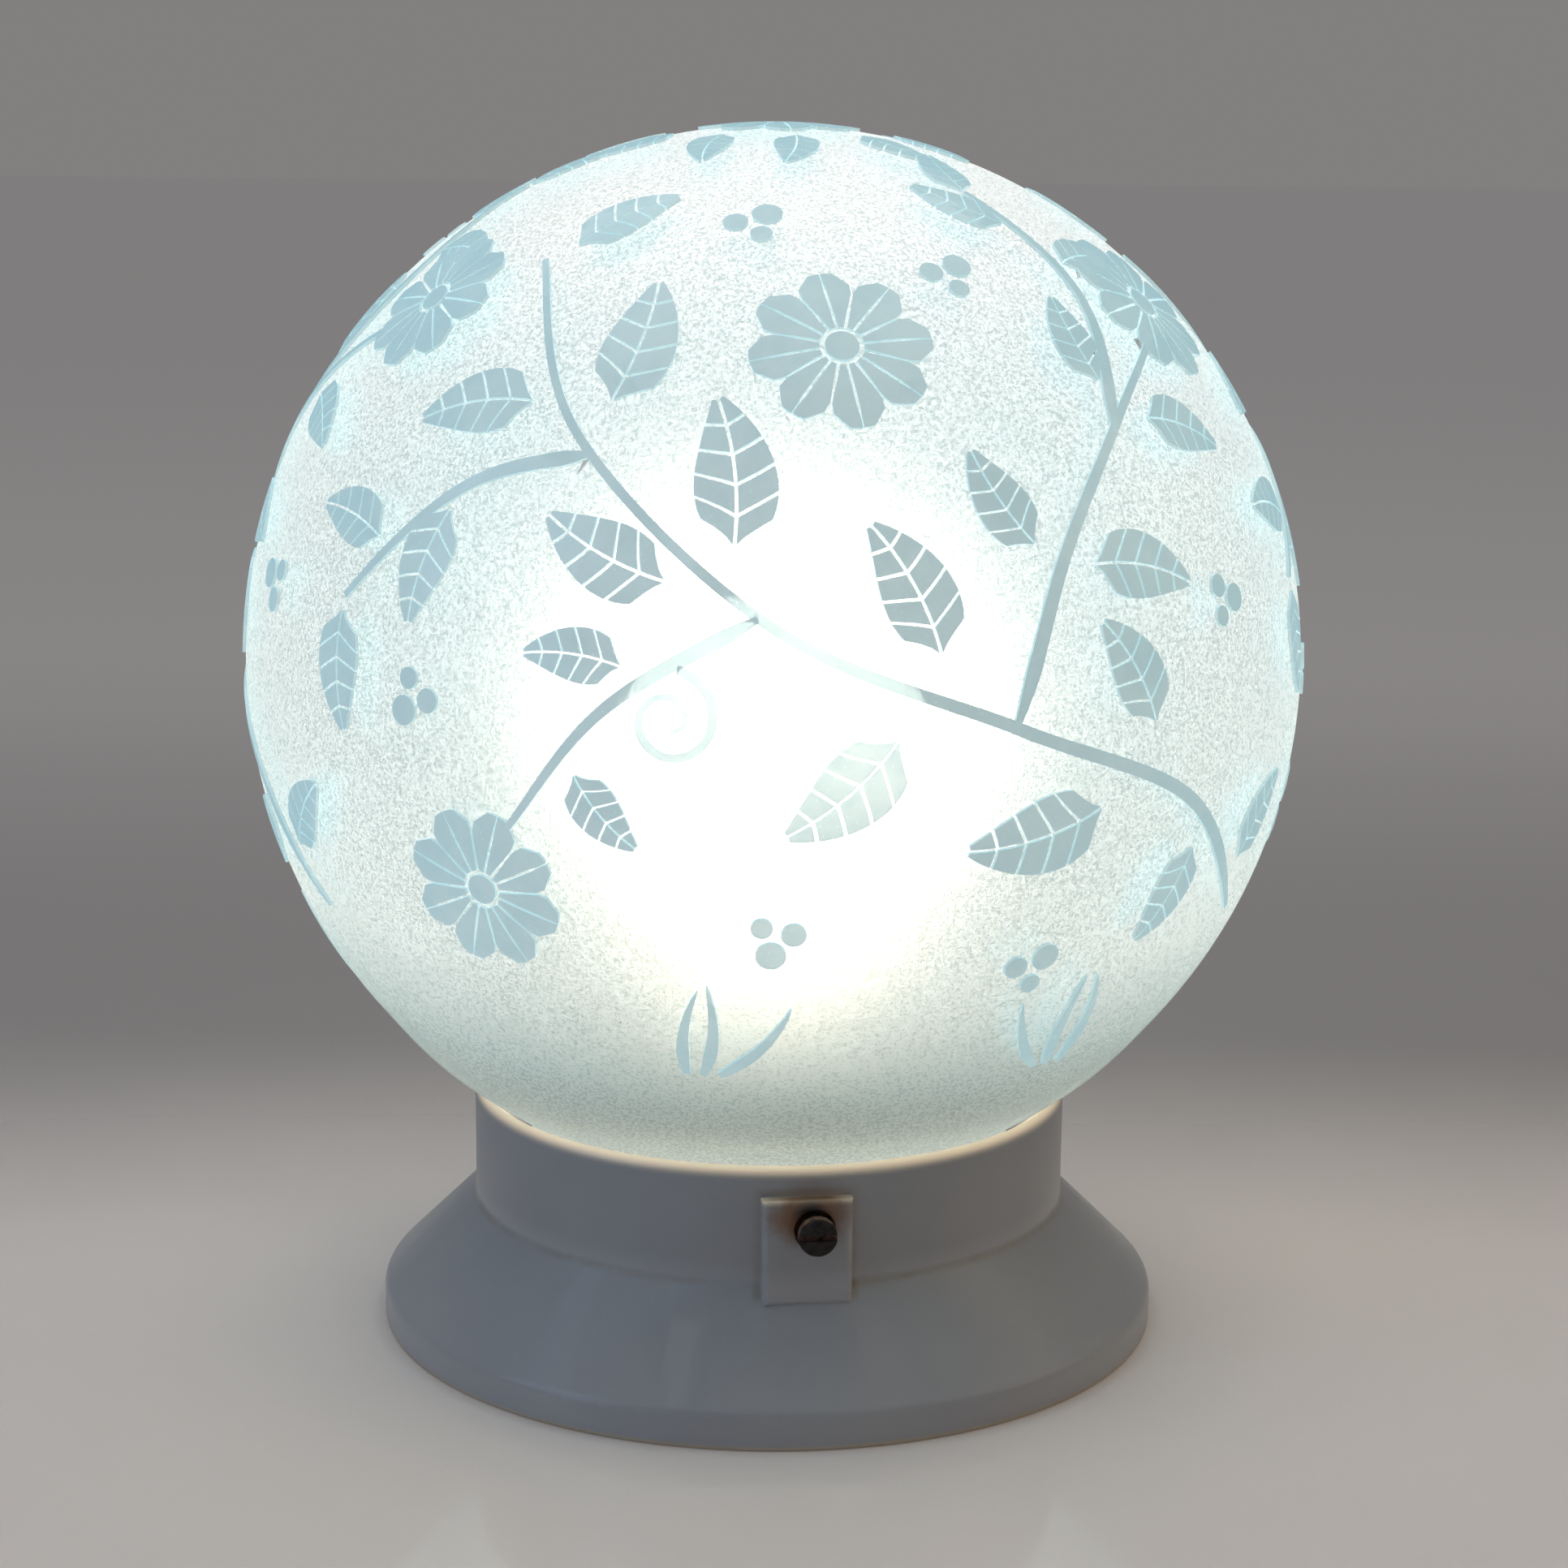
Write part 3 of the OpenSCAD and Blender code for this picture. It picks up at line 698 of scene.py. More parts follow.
@dataclass(frozen=True)
class GlazedPorcelain:
    """Glaze over clay, the white painted down to grey as painted shade, with dirt in its corners, rust
    round the screws' heads and painted highlights on the rim and the pads' tops.
    """

    # The glaze and cloud greys are the white glaze painted darker, as painted shade over the whole base.
    glaze: Colour = (0.42, 0.42, 0.43)
    cloud: Colour = (0.39, 0.392, 0.41)
    lit_rim: Colour = (0.86, 0.70, 0.52)
    clay: Colour = (0.52, 0.45, 0.34)
    dirt: Colour = (0.30, 0.235, 0.15)
    rust: Colour = (0.215, 0.100, 0.042)
    rust_shadow_black: Colour = (0.012, 0.007, 0.004)
    speck: Colour = (0.05, 0.04, 0.035)
    rim_glow: Colour = (0.36, 0.29, 0.20)
    wall_shade: float = 0.16
    roughness: float = 0.30
    collar_r: float = 57.5
    crease_z: float = 24.3
    rim_z: float = 46.2
    pad_mid: Point = (-1.2, 31.05)
    pad_half: Point = (8.25, 9.95)
    screw_z: float = SCREW_Z

    def make(self) -> bpy.types.Material:
        """Builds the material.

        Returns:
            The material.
        """
        s = Shader.named("glazed_porcelain")
        at = BaseMap.of(s)
        rim = at.height.step(self.rim_z - 2.4, self.rim_z)
        wall = at.height.step(self.crease_z, self.crease_z + 5.0) * (1.0 - rim)
        upper = at.height.step(self.pad_mid[1], self.pad_mid[1] + 1.0)
        lit_pad_top = self.past_pad(at).near(0.0, 1.1) * upper * self.on_pad(at)
        grime = self.grime(at)
        spots = s.specks(34.0, 0.028) * at.broad.step(0.5, 0.56)
        bare = 1.0 - at.height.step(0.5, 1.3)

        colour = s.mix(at.broad.step(0.3, 0.7), self.cloud, self.glaze)
        colour = s.mix(wall * self.wall_shade, colour, BLACK)
        colour = s.mix(rim, colour, self.lit_rim)
        colour = s.mix((grime * 0.75).fn("MINIMUM", 0.8), colour, self.dirt)
        # Painted highlight along the pads' top edges, in the lit rim's colour.
        colour = s.mix(lit_pad_top * 0.8, colour, self.lit_rim)
        colour = self.rusted(s, at, colour)
        colour = s.mix(spots, colour, self.speck)
        colour = s.mix(bare, colour, self.clay)
        return s.surface(
            Base_Color=colour,
            Roughness=self.roughness + at.broad * 0.12 + grime * 0.25 + bare * 0.3,
            IOR=1.5,
            Coat_Weight=(1.0 - bare) * 0.25,
            Coat_Roughness=0.12,
            Emission_Color=s.mix(rim * rim, BLACK, self.rim_glow),
            Emission_Strength=1.0,
            Normal=s.bump(at.broad + at.fine * 0.06, 0.12),
        )

    def on_pad(self, at: BaseMap) -> Sock:
        """1 on the pads' faces, which stand out from the collar."""
        return at.outward.step(self.collar_r - 0.6, self.collar_r + 0.6)

    def past_pad(self, at: BaseMap) -> Sock:
        """How far a point lies above or below its pad."""
        return (at.height - self.pad_mid[1]).fn("ABSOLUTE") - self.pad_half[1]

    def grime(self, at: BaseMap) -> Sock:
        """Dirt along the pads' edges and in the crease at the collar's foot.

        Args:
            at: Where a point of the base lies.

        Returns:
            How dirty it is, from 0 to about 1.
        """
        side = (at.along - self.pad_mid[0]).fn("ABSOLUTE") - self.pad_half[0]
        edge = side.fn("MAXIMUM", self.past_pad(at))
        outline = edge.near(0.5, 1.5) * at.outward.near(self.collar_r + 0.4, 2.2)
        crease = at.height.near(self.crease_z, 1.3) * at.radius.near(self.collar_r, 2.0)
        crease = crease * at.broad.step(0.35, 0.6) * 0.7
        return (outline + crease) * (0.55 + at.fine.step(0.30, 0.70) * 0.45)

    def rusted(self, s: Shader, at: BaseMap, colour: Sock) -> Sock:
        """Rust that has seeped out round the screws' heads, with painted shadow making it nearly black
        beside them.

        Args:
            s: The shader to add to.
            at: Where a point of the base lies.
            colour: The colour without rust.

        Returns:
            The colour with it.
        """
        across = ((at.along + 0.6) * 0.75).fn("POWER", 2.0)
        away = (across + (at.height - self.screw_z - 3.0).fn("POWER", 2.0)).fn("SQRT")
        # Near-black just above each head: rust with painted shadow over it.
        rust_in_shade = 1.0 - (away + (at.fine - 0.5) * 1.2).step(1.0, 3.0)
        seep = 1.0 - (away + (at.broad - 0.5) * 3.0 + (at.fine - 0.5) * 2.4).step(3.0, 7.4)
        pad = self.on_pad(at)
        return s.mix(seep * pad * 0.92, colour, s.mix(rust_in_shade * pad, self.rust, self.rust_shadow_black))


@dataclass(frozen=True)
class PlainPorcelain:
    """Unpainted porcelain of the lampholder, a little yellowed."""

    glaze: Colour = (0.78, 0.76, 0.71)
    stain: Colour = (0.55, 0.46, 0.33)

    def make(self) -> bpy.types.Material:
        """Builds the material.

        Returns:
            The material.
        """
        s = Shader.named("plain_porcelain")
        broad, fine = s.noise(70.0), s.noise(600.0)
        return s.surface(
            Base_Color=s.mix(broad.step(0.45, 0.8) * 0.6, self.glaze, self.stain),
            Roughness=0.35 + fine * 0.2,
            Coat_Weight=0.15,
            Normal=s.bump(broad + fine * 0.2, 0.1),
        )


@dataclass(frozen=True)
class Metal:
    """A worn metal with stains and fine scratches."""

    name: str
    bright: Colour
    stain: Colour
    roughness: float = 0.3
    stain_from: tuple[float, float] = (0.45, 0.75)
    grain: float = 500.0

    def make(self) -> bpy.types.Material:
        """Builds the material.

        Returns:
            The material.
        """
        s = Shader.named(self.name)
        broad, fine = s.noise(self.grain * 0.35), s.noise(self.grain, 4.0)
        tarnish = broad.step(*self.stain_from)
        return s.surface(
            Base_Color=s.mix(tarnish, self.bright, self.stain),
            Metallic=1.0 - tarnish * 0.35,
            Roughness=self.roughness + tarnish * 0.3 + (fine - 0.5) * 0.2,
            Normal=s.bump(fine, 0.03),
        )


@dataclass(frozen=True)
class RustySteel:
    """Steel gone to brown rust, with darker pits, a paler bloom and painted shade that turns the front of
    a head near-black.
    """

    dark: Colour = (0.045, 0.024, 0.016)
    brown: Colour = (0.150, 0.075, 0.042)
    bloom: Colour = (0.30, 0.155, 0.085)
    rust_in_shade: Colour = (0.010, 0.008, 0.008)
    pit: Colour = (0.015, 0.01, 0.01)
    face_r: float = 64.5

    def make(self) -> bpy.types.Material:
        """Builds the material.

        Returns:
            The material.
        """
        s = Shader.named("rusty_steel")
        scale, pits = s.noise(700.0, 5.0, 0.65), s.noise(1900.0, 3.0)
        colour = s.mix(scale.step(0.36, 0.58), self.dark, self.brown)
        colour = s.mix(scale.step(0.60, 0.74), colour, self.bloom)
        x, y, _ = s.axes()
        radius = (x * x + y * y).fn("SQRT") / MM + (scale - 0.5) * 0.5
        # Painted shade: the front face of a head, out past face_r, goes near-black.
        colour = s.mix(radius.step(self.face_r - 0.3, self.face_r + 0.1) * 0.93, colour, self.rust_in_shade)
        return s.surface(
            Base_Color=s.mix(pits.step(0.62, 0.75) * 0.8, colour, self.pit),
            Metallic=0.35 * (1.0 - scale.step(0.40, 0.60)),
            Roughness=0.62 + scale * 0.3,
            Normal=s.bump(scale + pits * 0.5, 0.22),
        )


@dataclass(frozen=True)
class Moulded:
    """A moulded or drawn piece of one colour, mottled and slightly dusty."""

    name: str
    colour: Colour
    roughness: float = 0.5
    mottle: float = 0.16
    grain: float = 300.0

    def make(self) -> bpy.types.Material:
        """Builds the material.

        Returns:
            The material.
        """
        s = Shader.named(self.name)
        broad, fine = s.noise(self.grain * 0.3), s.noise(self.grain * 3.0)
        dull = tuple(c * (1.0 - self.mottle) + 0.02 for c in self.colour)
        return s.surface(
            Base_Color=s.mix(broad.step(0.3, 0.7), dull, self.colour),
            Roughness=self.roughness + (fine - 0.5) * 0.3,
            Normal=s.bump(fine, 0.03),
        )


# The etched globe


class Motif(Enum):
    """The figures that the globe's relief is laid out with."""

    LEAF = "leaf"
    BLADE = "blade"
    BLOSSOM = "blossom"
    TENDRIL = "tendril"
    BERRY = "berry"


@dataclass(frozen=True)
class Mark:
    """One figure on the globe: where it starts, which way it points and its size."""

    motif: Motif
    lon: float
    lat: float
    turn: float = 0.0
    scale: float = 1.0
    mirrored: bool = False


@dataclass
class Relief:
    """The raised figures: sprays of leaves, blossoms, tendrils and berries round the globe."""

    radius: float
    centre_z: float
    depth: float = 1.5
    stem_width: float = 2.8
    vein: float = 0.55
    leaf_length: float = 27.0
    leaf_half: float = 6.6
    leaf_start: float = 0.03
    leaf_run: float = 0.93
    vein_slant: float = 0.16
    least_half: float = 0.12
    crown_leaves: int = 10
    seed: int = 12
    marks: list[Mark] = field(default_factory=list)
    stems: list[list[Point]] = field(default_factory=list)

    def place_on_globe(self, lon: float, lat: float) -> tuple[Vector, Vector, Vector]:
        """The outward, eastward and northward directions at a place of the globe, in degrees.

        Args:
            lon: The place's longitude, from the front eastwards.
            lat: Its latitude.

        Returns:
            The three directions, each one long.
        """
        a, b = math.radians(lon), math.radians(lat)
        out = Vector((math.sin(a) * math.cos(b), -math.cos(a) * math.cos(b), math.sin(b)))
        east = Vector((math.cos(a), math.sin(a), 0.0))
        return out, east, out.cross(east)

    def wrap(self, piece: bpy.types.Object, mark: Mark) -> None:
        """Lays a flat piece on the globe, keeping distances from the mark's own place.

        Args:
            piece: The flat piece.
            mark: Where it goes, and how it is turned and scaled.
        """
        out, east, north = self.place_on_globe(mark.lon, mark.lat)
        turn = Matrix.Rotation(math.radians(mark.turn), 2)
        for vertex in piece.data.vertices:
            flat = Vector((vertex.co.x, -vertex.co.y if mark.mirrored else vertex.co.y)) * mark.scale
            flat = turn @ flat
            away = flat.length / (self.radius * MM)
            way = (east * flat.x + north * flat.y).normalized() if away > 0 else east
            vertex.co = (out * math.cos(away) + way * math.sin(away)) * self.radius * MM
            vertex.co.z += self.centre_z * MM

    def leaf(self, name: str, length: float, half: float, cuts: int, bend: float) -> bpy.types.Object:
        """A flat leaf, cut by its midrib and side veins.

        Args:
            name: The name of the new piece.
            length: Its length, in millimetres.
            half: Half its width.
            cuts: How many fields each half has.
            bend: How far it curls, in radians over its length.

        Returns:
            The leaf, from the origin along +X.
        """
        curve = bend / length

        def spot_of(low: float, high: float, side: int) -> Spot:
            """The rule of one field, between two shares of the length, on one side.

            Args:
                low: The share of the length where it starts.
                high: The share where it ends.
                side: Which side of the midrib it lies on, -1 or 1.

            Returns:
                The rule.
            """
            def spot(u: float, v: float) -> Point:
                """A point of the field, from its two shares.

                Args:
                    u: The share along the field.
                    v: The share across it.

                Returns:
                    The point, in millimetres.
                """
                share = low + (high - low) * u
                share += self.vein_slant * v * (1.0 - share)
                width = half * math.sin(math.pi * share ** 0.72) ** 0.85
                x = length * share
                y = side * (self.vein * 0.5 + v * max(width - self.vein * 0.5, self.least_half))
                return bent(x, y, curve)
            return spot

        gap = self.vein / length * 0.55
        fields = []
        for side in (-1, 1):
            for k in range(cuts):
                low = self.leaf_start + self.leaf_run * k / cuts + gap
                high = self.leaf_start + self.leaf_run * (k + 1) / cuts - gap
                fields.append(Bench.sheet(name, 3, 3, spot_of(low, high, side)))
        return Bench.join(name, fields)

    def blossom(self, petals: int = 8, eye: float = 2.8, length: float = 11.5) -> bpy.types.Object:
        """A flat blossom of petals that each have a cut down the middle.

        Args:
            petals: How many petals it has.
            eye: The radius of its middle, in millimetres.
            length: The length of a petal, in millimetres.

        Returns:
            The blossom, about the origin.
        """
        parts = [Bench.disc("blossom", eye, 20)]
        start = eye + 0.8
        for k in range(petals):
            turn = 2.0 * math.pi * k / petals

            def spot_of(side: int, turn: float = turn) -> Spot:
                """The rule of one half of a petal.

                Args:
                    side: Which half it is, -1 or 1.
                    turn: The petal's turn, in radians.

                Returns:
                    The rule.
                """
                def spot(u: float, v: float) -> Point:
                    """A point of the half, from its two shares.

                    Args:
                        u: The share along the petal.
                        v: The share across its half.

                    Returns:
                        The point, in millimetres.
                    """
                    reach = start + length * u
                    room = math.pi / petals * reach - self.vein * 0.5
                    tip = math.sqrt(max(1.0 - max(u - 0.55, 0.0) ** 2 / 0.2026, 0.0))
                    cut = self.vein * (0.45 if u < 0.8 else 0.2)
                    width = max(room * (0.35 + 0.65 * tip), cut + 0.15)
                    y = side * (cut + v * (width - cut))
                    x = reach - 0.06 * y * y
                    return (x * math.cos(turn) - y * math.sin(turn),
                            x * math.sin(turn) + y * math.cos(turn))
                return spot

            parts += [Bench.sheet("blossom", 6, 2, spot_of(side)) for side in (-1, 1)]
        return Bench.join("blossom", parts)

    def tendril(self, turns: float = 1.45, outer: float = 13.0, inner: float = 2.6) -> bpy.types.Object:
        """A flat curl that winds in from the origin.

        Args:
            turns: How many turns it makes.
            outer: Its first radius, in millimetres.
            inner: Its last radius.

        Returns:
            The curl, which leaves the origin along +X.
        """

        def spot(u: float, v: float) -> Point:
            """A point of the curl, from its two shares.

            Args:
                u: The share along the curl.
                v: The share across it.

            Returns:
                The point, in millimetres.
            """
            angle = 2.0 * math.pi * turns * u
            width = self.stem_width * (0.95 - 0.5 * u)
            radius = outer + (inner - outer) * u + (v - 0.5) * width
            return (radius * math.sin(angle), outer - radius * math.cos(angle))

        return Bench.sheet("tendril", 44, 1, spot)

    def blade(self, length: float = 34.0, half: float = 2.1, bend: float = 0.55) -> bpy.types.Object:
        """A flat narrow blade that curves to its tip.

        Args:
            length: Its length, in millimetres.
            half: Half its width.
            bend: How far it curls, in radians over its length.

        Returns:
            The blade, from the origin along +X.
        """
        curve = bend / length

        def spot(u: float, v: float) -> Point:
            """A point of the blade, from its two shares.

            Args:
                u: The share along the blade.
                v: The share across it.

            Returns:
                The point, in millimetres.
            """
            width = half * (1.0 - u) ** 0.6 * (0.45 + 0.55 * min(u * 4.0, 1.0)) + self.least_half
            x, y = length * u, (v - 0.5) * 2.0 * width
            return bent(x, y, curve)

        return Bench.sheet("blade", 14, 1, spot)

    def berry(self) -> bpy.types.Object:
        """Three flat berries in a group.

        Returns:
            The berries, about the origin.
        """
        spots = [(0.0, 0.0), (6.2, 1.0), (2.4, 5.8)]
        discs = [Bench.disc("berry", r, 18, at) for r, at in zip((2.9, 2.4, 2.1), spots)]
        return Bench.join("berry", discs)

    def stem(self, route: Sequence[Point], samples: int) -> bpy.types.Object:
        """A ribbon on the globe along a smooth line through places given in degrees.

        Args:
            route: Longitudes and latitudes that the line passes.
            samples: How many faces it has along its length.

        Returns:
            The ribbon, on the globe's full radius.
        """
        spots = [self.place_on_globe(*place)[0] for place in route]
        ends = [spots[0] * 2 - spots[1], *spots, spots[-1] * 2 - spots[-2]]

        def at(t: float) -> Vector:
            """The direction at a share of the line.

            Args:
                t: The share of the line.

            Returns:
                The direction from the globe's centre.
            """
            k = min(int(t * (len(spots) - 1)), len(spots) - 2)
            f = t * (len(spots) - 1) - k
            a, b, c, d = ends[k:k + 4]
            line = b * 2 + (c - a) * f
            line += (a * 2 - b * 5 + c * 4 - d) * f ** 2
            line += (b * 3 - a - c * 3 + d) * f ** 3
            return line.normalized()

        piece = Bench.sheet("stem", samples, 1, lambda u, v: (u / MM, v / MM))
        for vertex in piece.data.vertices:
            u, v = vertex.co.x, vertex.co.y
            here = at(u)
            ahead = at(min(u + 0.004, 1.0)) - at(max(u - 0.004, 0.0))
            side = here.cross(ahead).normalized()
            width = self.stem_width * (1.0 - 0.55 * u) * min(0.4 + 6.0 * u, 1.0)
            vertex.co = (here * self.radius + side * (v - 0.5) * width).normalized() * self.radius * MM
            vertex.co.z += self.centre_z * MM
        return piece

    def lay_spray(self, lon: float, draw: random.Random) -> None:
        """Adds the stems and figures of one spray about a longitude.

        Args:
            lon: The spray's middle, in degrees.
            draw: The source of its small differences.
        """

        def add(
            motif: Motif, x: float, y: float, turn: float, scale: float = 1.0, flip: bool = False
        ) -> None:
            """Adds one figure at a place of the spray, a little off its turn and scale."""
            turn += draw.uniform(-5.0, 5.0)
            self.marks.append(Mark(motif, lon + x, y, turn, scale * draw.uniform(0.94, 1.06), flip))

        self.stems += [
            [(lon + x, y) for x, y in route]
            for route in (
                [(54, -22), (38, -7), (16, 2), (-8, 12), (-30, 30), (-46, 50)],
                [(15.4, 2.4), (22, 18), (34, 31), (50, 40)],
                [(-9.5, 12.9), (-24, 4), (-34, -8)],
                [(-28, 28), (-42, 24), (-56, 12)],
                [(33, 30), (40, 46), (36, 62)],
            )
        ]
        for x, y, turn, scale in (
            (51, -16, 62, 0.75), (40, -12, -105, 0.80), (32, 1, 112, 0.85), (26, -6, -150, 1.0),
            (8, 9, 100, 0.95), (4, 2, -125, 0.95), (-12, 19, 88, 1.05), (-18, 16, 170, 0.9),
            (-27, 33, 75, 0.95), (-36, 33, 178, 0.9), (-42, 52, 70, 0.8),
        ):
            add(Motif.LEAF, x, y, turn, scale, y % 2 == 0)
        for x, y, turn, scale in (
            (19, 19, 128, 0.8), (25, 17, 8, 0.85), (34, 35, 105, 0.75), (39, 31, -8, 0.75),
            (-22, 8, 165, 0.7), (-27, -2, -60, 0.65), (-43, 22, -120, 0.85),
            (-52, 18, 150, 0.8), (-56, 11, -95, 0.8), (42, 50, 20, 0.7), (37, 56, 140, 0.7),
            (36, 62, 85, 0.7),
        ):
            add(Motif.LEAF, x, y, turn, scale, x > 0)
        add(Motif.BLOSSOM, 56, 44, 0, 1.0)
        add(Motif.BLOSSOM, -38, -15, 20, 0.95)
        add(Motif.BLOSSOM, 0, 40, 10, 1.05)
        add(Motif.TENDRIL, -17, 8, -10, 0.62, True)
        for x, y in ((-8, -20), (22, -22), (-46, 2), (20, 50), (46, 12), (-10, 58)):
            add(Motif.BERRY, x, y, draw.uniform(0, 360), 0.9)
        for x, y, turn in (
            (-18, -36, 100), (-16, -36, 70), (-14, -36, 40), (28, -38, 140), (30, -38, 110), (32, -38, 80),
        ):
            add(Motif.BLADE, x, y, turn, 0.62, turn > 90)

    def lay_crown(self) -> None:
        """Adds a blossom at the top with a ring of leaves round it."""
        self.marks.append(Mark(Motif.BLOSSOM, 0, 89.9, 0, 1.0))
        for k in range(self.crown_leaves):
            lon = 360.0 / self.crown_leaves * k
            self.marks.append(Mark(Motif.LEAF, lon, 78, -90, 0.62, k % 2 == 0))

    def build(self) -> bpy.types.Object:
        """Models the figures once each, copies them to their places and gives them depth.

        Returns:
            The figures as closed slabs, their faces on the globe's full radius.
        """
        draw = random.Random(self.seed)
        for k in range(3):
            self.lay_spray(THIRD_TURN * k, draw)
        self.lay_crown()
        flat = {
            Motif.LEAF: self.leaf("leaf", self.leaf_length, self.leaf_half, 5, 0.5),
            Motif.BLADE: self.blade(),
            Motif.BLOSSOM: self.blossom(),
            Motif.TENDRIL: self.tendril(),
            Motif.BERRY: self.berry(),
        }
        parts = [self.stem(route, 16 * len(route)) for route in self.stems]
        for mark in self.marks:
            twin = Bench.copy(flat[mark.motif], "figure")
            self.wrap(twin, mark)
            parts.append(twin)
        for template in flat.values():
            bpy.data.objects.remove(template)
        relief = Bench.join("relief", parts)
        middle = Vector((0.0, 0.0, self.centre_z * MM))
        for face in relief.data.polygons:
            if face.normal.dot(face.center - middle) < 0.0:
                face.flip()
        relief.data.update()
        Bench.modify(relief, "SOLIDIFY", thickness=self.depth * MM, offset=-1.0, use_even_offset=False)
        log.info("relief: %d figures, %d stems", len(self.marks), len(self.stems))
        return relief


@dataclass
class Globe:
    """The blown globe: a blasted wall with raised figures, a neck and a lip."""

    radius: float = 100.0
    ground: float = 99.4
    inner: float = 96.5
    centre_z: float = 129.341
    neck_r: float = 46.6
    neck_in_r: float = 43.1
    lip_r: float = 49.6
    lip_z: float = 27.0
    lip_h: float = 4.0
    seat_skin: float = 0.55
    seat_z: tuple[float, float] = (56.0, 64.0)
    steps: int = 139

    def outline(self) -> list[Point]:
        """The wall's outline, from the top of the outside round to the top of the inside.

        Returns:
            Points of radius and height, in millimetres.
        """
        out_end = math.degrees(math.asin(self.neck_r / (self.ground + self.seat_skin)))
        in_end = math.degrees(math.asin(self.neck_in_r / self.inner))
        bead = self.lip_h / 3.0
        edge = self.lip_r - bead
        ground = arc((0.0, self.centre_z), self.ground, 90.0, out_end - 90.0, 76)
        return [
            *[self.swell(*point) for point in ground],
            (self.neck_r, self.lip_z + self.lip_h + 1.0),
            (self.neck_r, self.lip_z + self.lip_h),
            *arc((edge, self.lip_z + self.lip_h - bead), bead, 90.0, 0.0, 5),
            *arc((edge, self.lip_z + bead), bead, 0.0, -90.0, 5),
            (self.neck_in_r + 0.6, self.lip_z),
            (self.neck_in_r, self.lip_z + 0.6),
            *arc((0.0, self.centre_z), self.inner, in_end - 90.0, 90.0, 70),
        ]

    def swell(self, radius: float, height: float) -> Point:
        """A point of the blasted ground, brought out to the full wall where the globe nears its seat.

        Args:
            radius: The point's distance from the axis, in millimetres.
            height: Its height.

        Returns:
            The moved point.
        """
        low, high = self.seat_z
        share = min(max((high - height) / (high - low), 0.0), 1.0)
        scale = 1.0 + share * self.seat_skin / self.ground
        return radius * scale, self.centre_z + (height - self.centre_z) * scale

    def build(self) -> bpy.types.Object:
        """Models the globe and dresses it.

        Returns:
            The globe.
        """
        piece = Bench.lathe("etched_globe", self.outline(), self.steps)
        Bench.cut(piece, Relief(self.radius, self.centre_z).build(), "UNION")
        self.dress(piece)
        Bench.smooth(piece, 28.0)
        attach(piece, "globe")
        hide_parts("glass_globe", "globe_neck", "globe_lip")
        return piece

    def dress(self, piece: bpy.types.Object) -> None:
        """Gives the ground, the figures and the inside their own glass, by their distance from the centre.

        Args:
            piece: The globe.
        """
        piece.data.materials.clear()
        for finish in (FrostedGlass(), FigureGlass(), ClearGlass("inner_glass")):
            piece.data.materials.append(finish.make())
        middle = Vector((0.0, 0.0, self.centre_z * MM))
        for face in piece.data.polygons:
            reach = (face.center - middle).length / MM
            raised = reach > self.ground + 0.08 and face.center.z > self.seat_z[1] * MM
            inside = reach < self.inner + 0.3 and face.center.z > self.lip_z * MM
            face.material_index = 1 if raised else 2 if inside else 0


# The base and its screws


@dataclass
class Base:
    """The porcelain base, its edges softened by glaze."""

    soft_edge: float = 0.5
    sharp: float = 30.0

    def build(self) -> bpy.types.Object:
        """Models the base from its node and dresses it.

        Returns:
            The base.
        """
        piece = Bench.copy(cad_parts["porcelain_base"], "glazed_base")
        piece.data.materials.clear()
        Bench.weld(piece, 1e-5)
        Bench.edit(piece, lambda: bpy.ops.mesh.dissolve_limited(angle_limit=math.radians(1.0)))
        Bench.modify(
            piece, "BEVEL", width=self.soft_edge * MM, segments=3, limit_method="ANGLE",
            angle_limit=math.radians(self.sharp), use_clamp_overlap=True,
        )
        Bench.smooth(piece, self.sharp)
        piece.data.materials.append(GlazedPorcelain().make())
        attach(piece, "base")
        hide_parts("porcelain_base")
        return piece


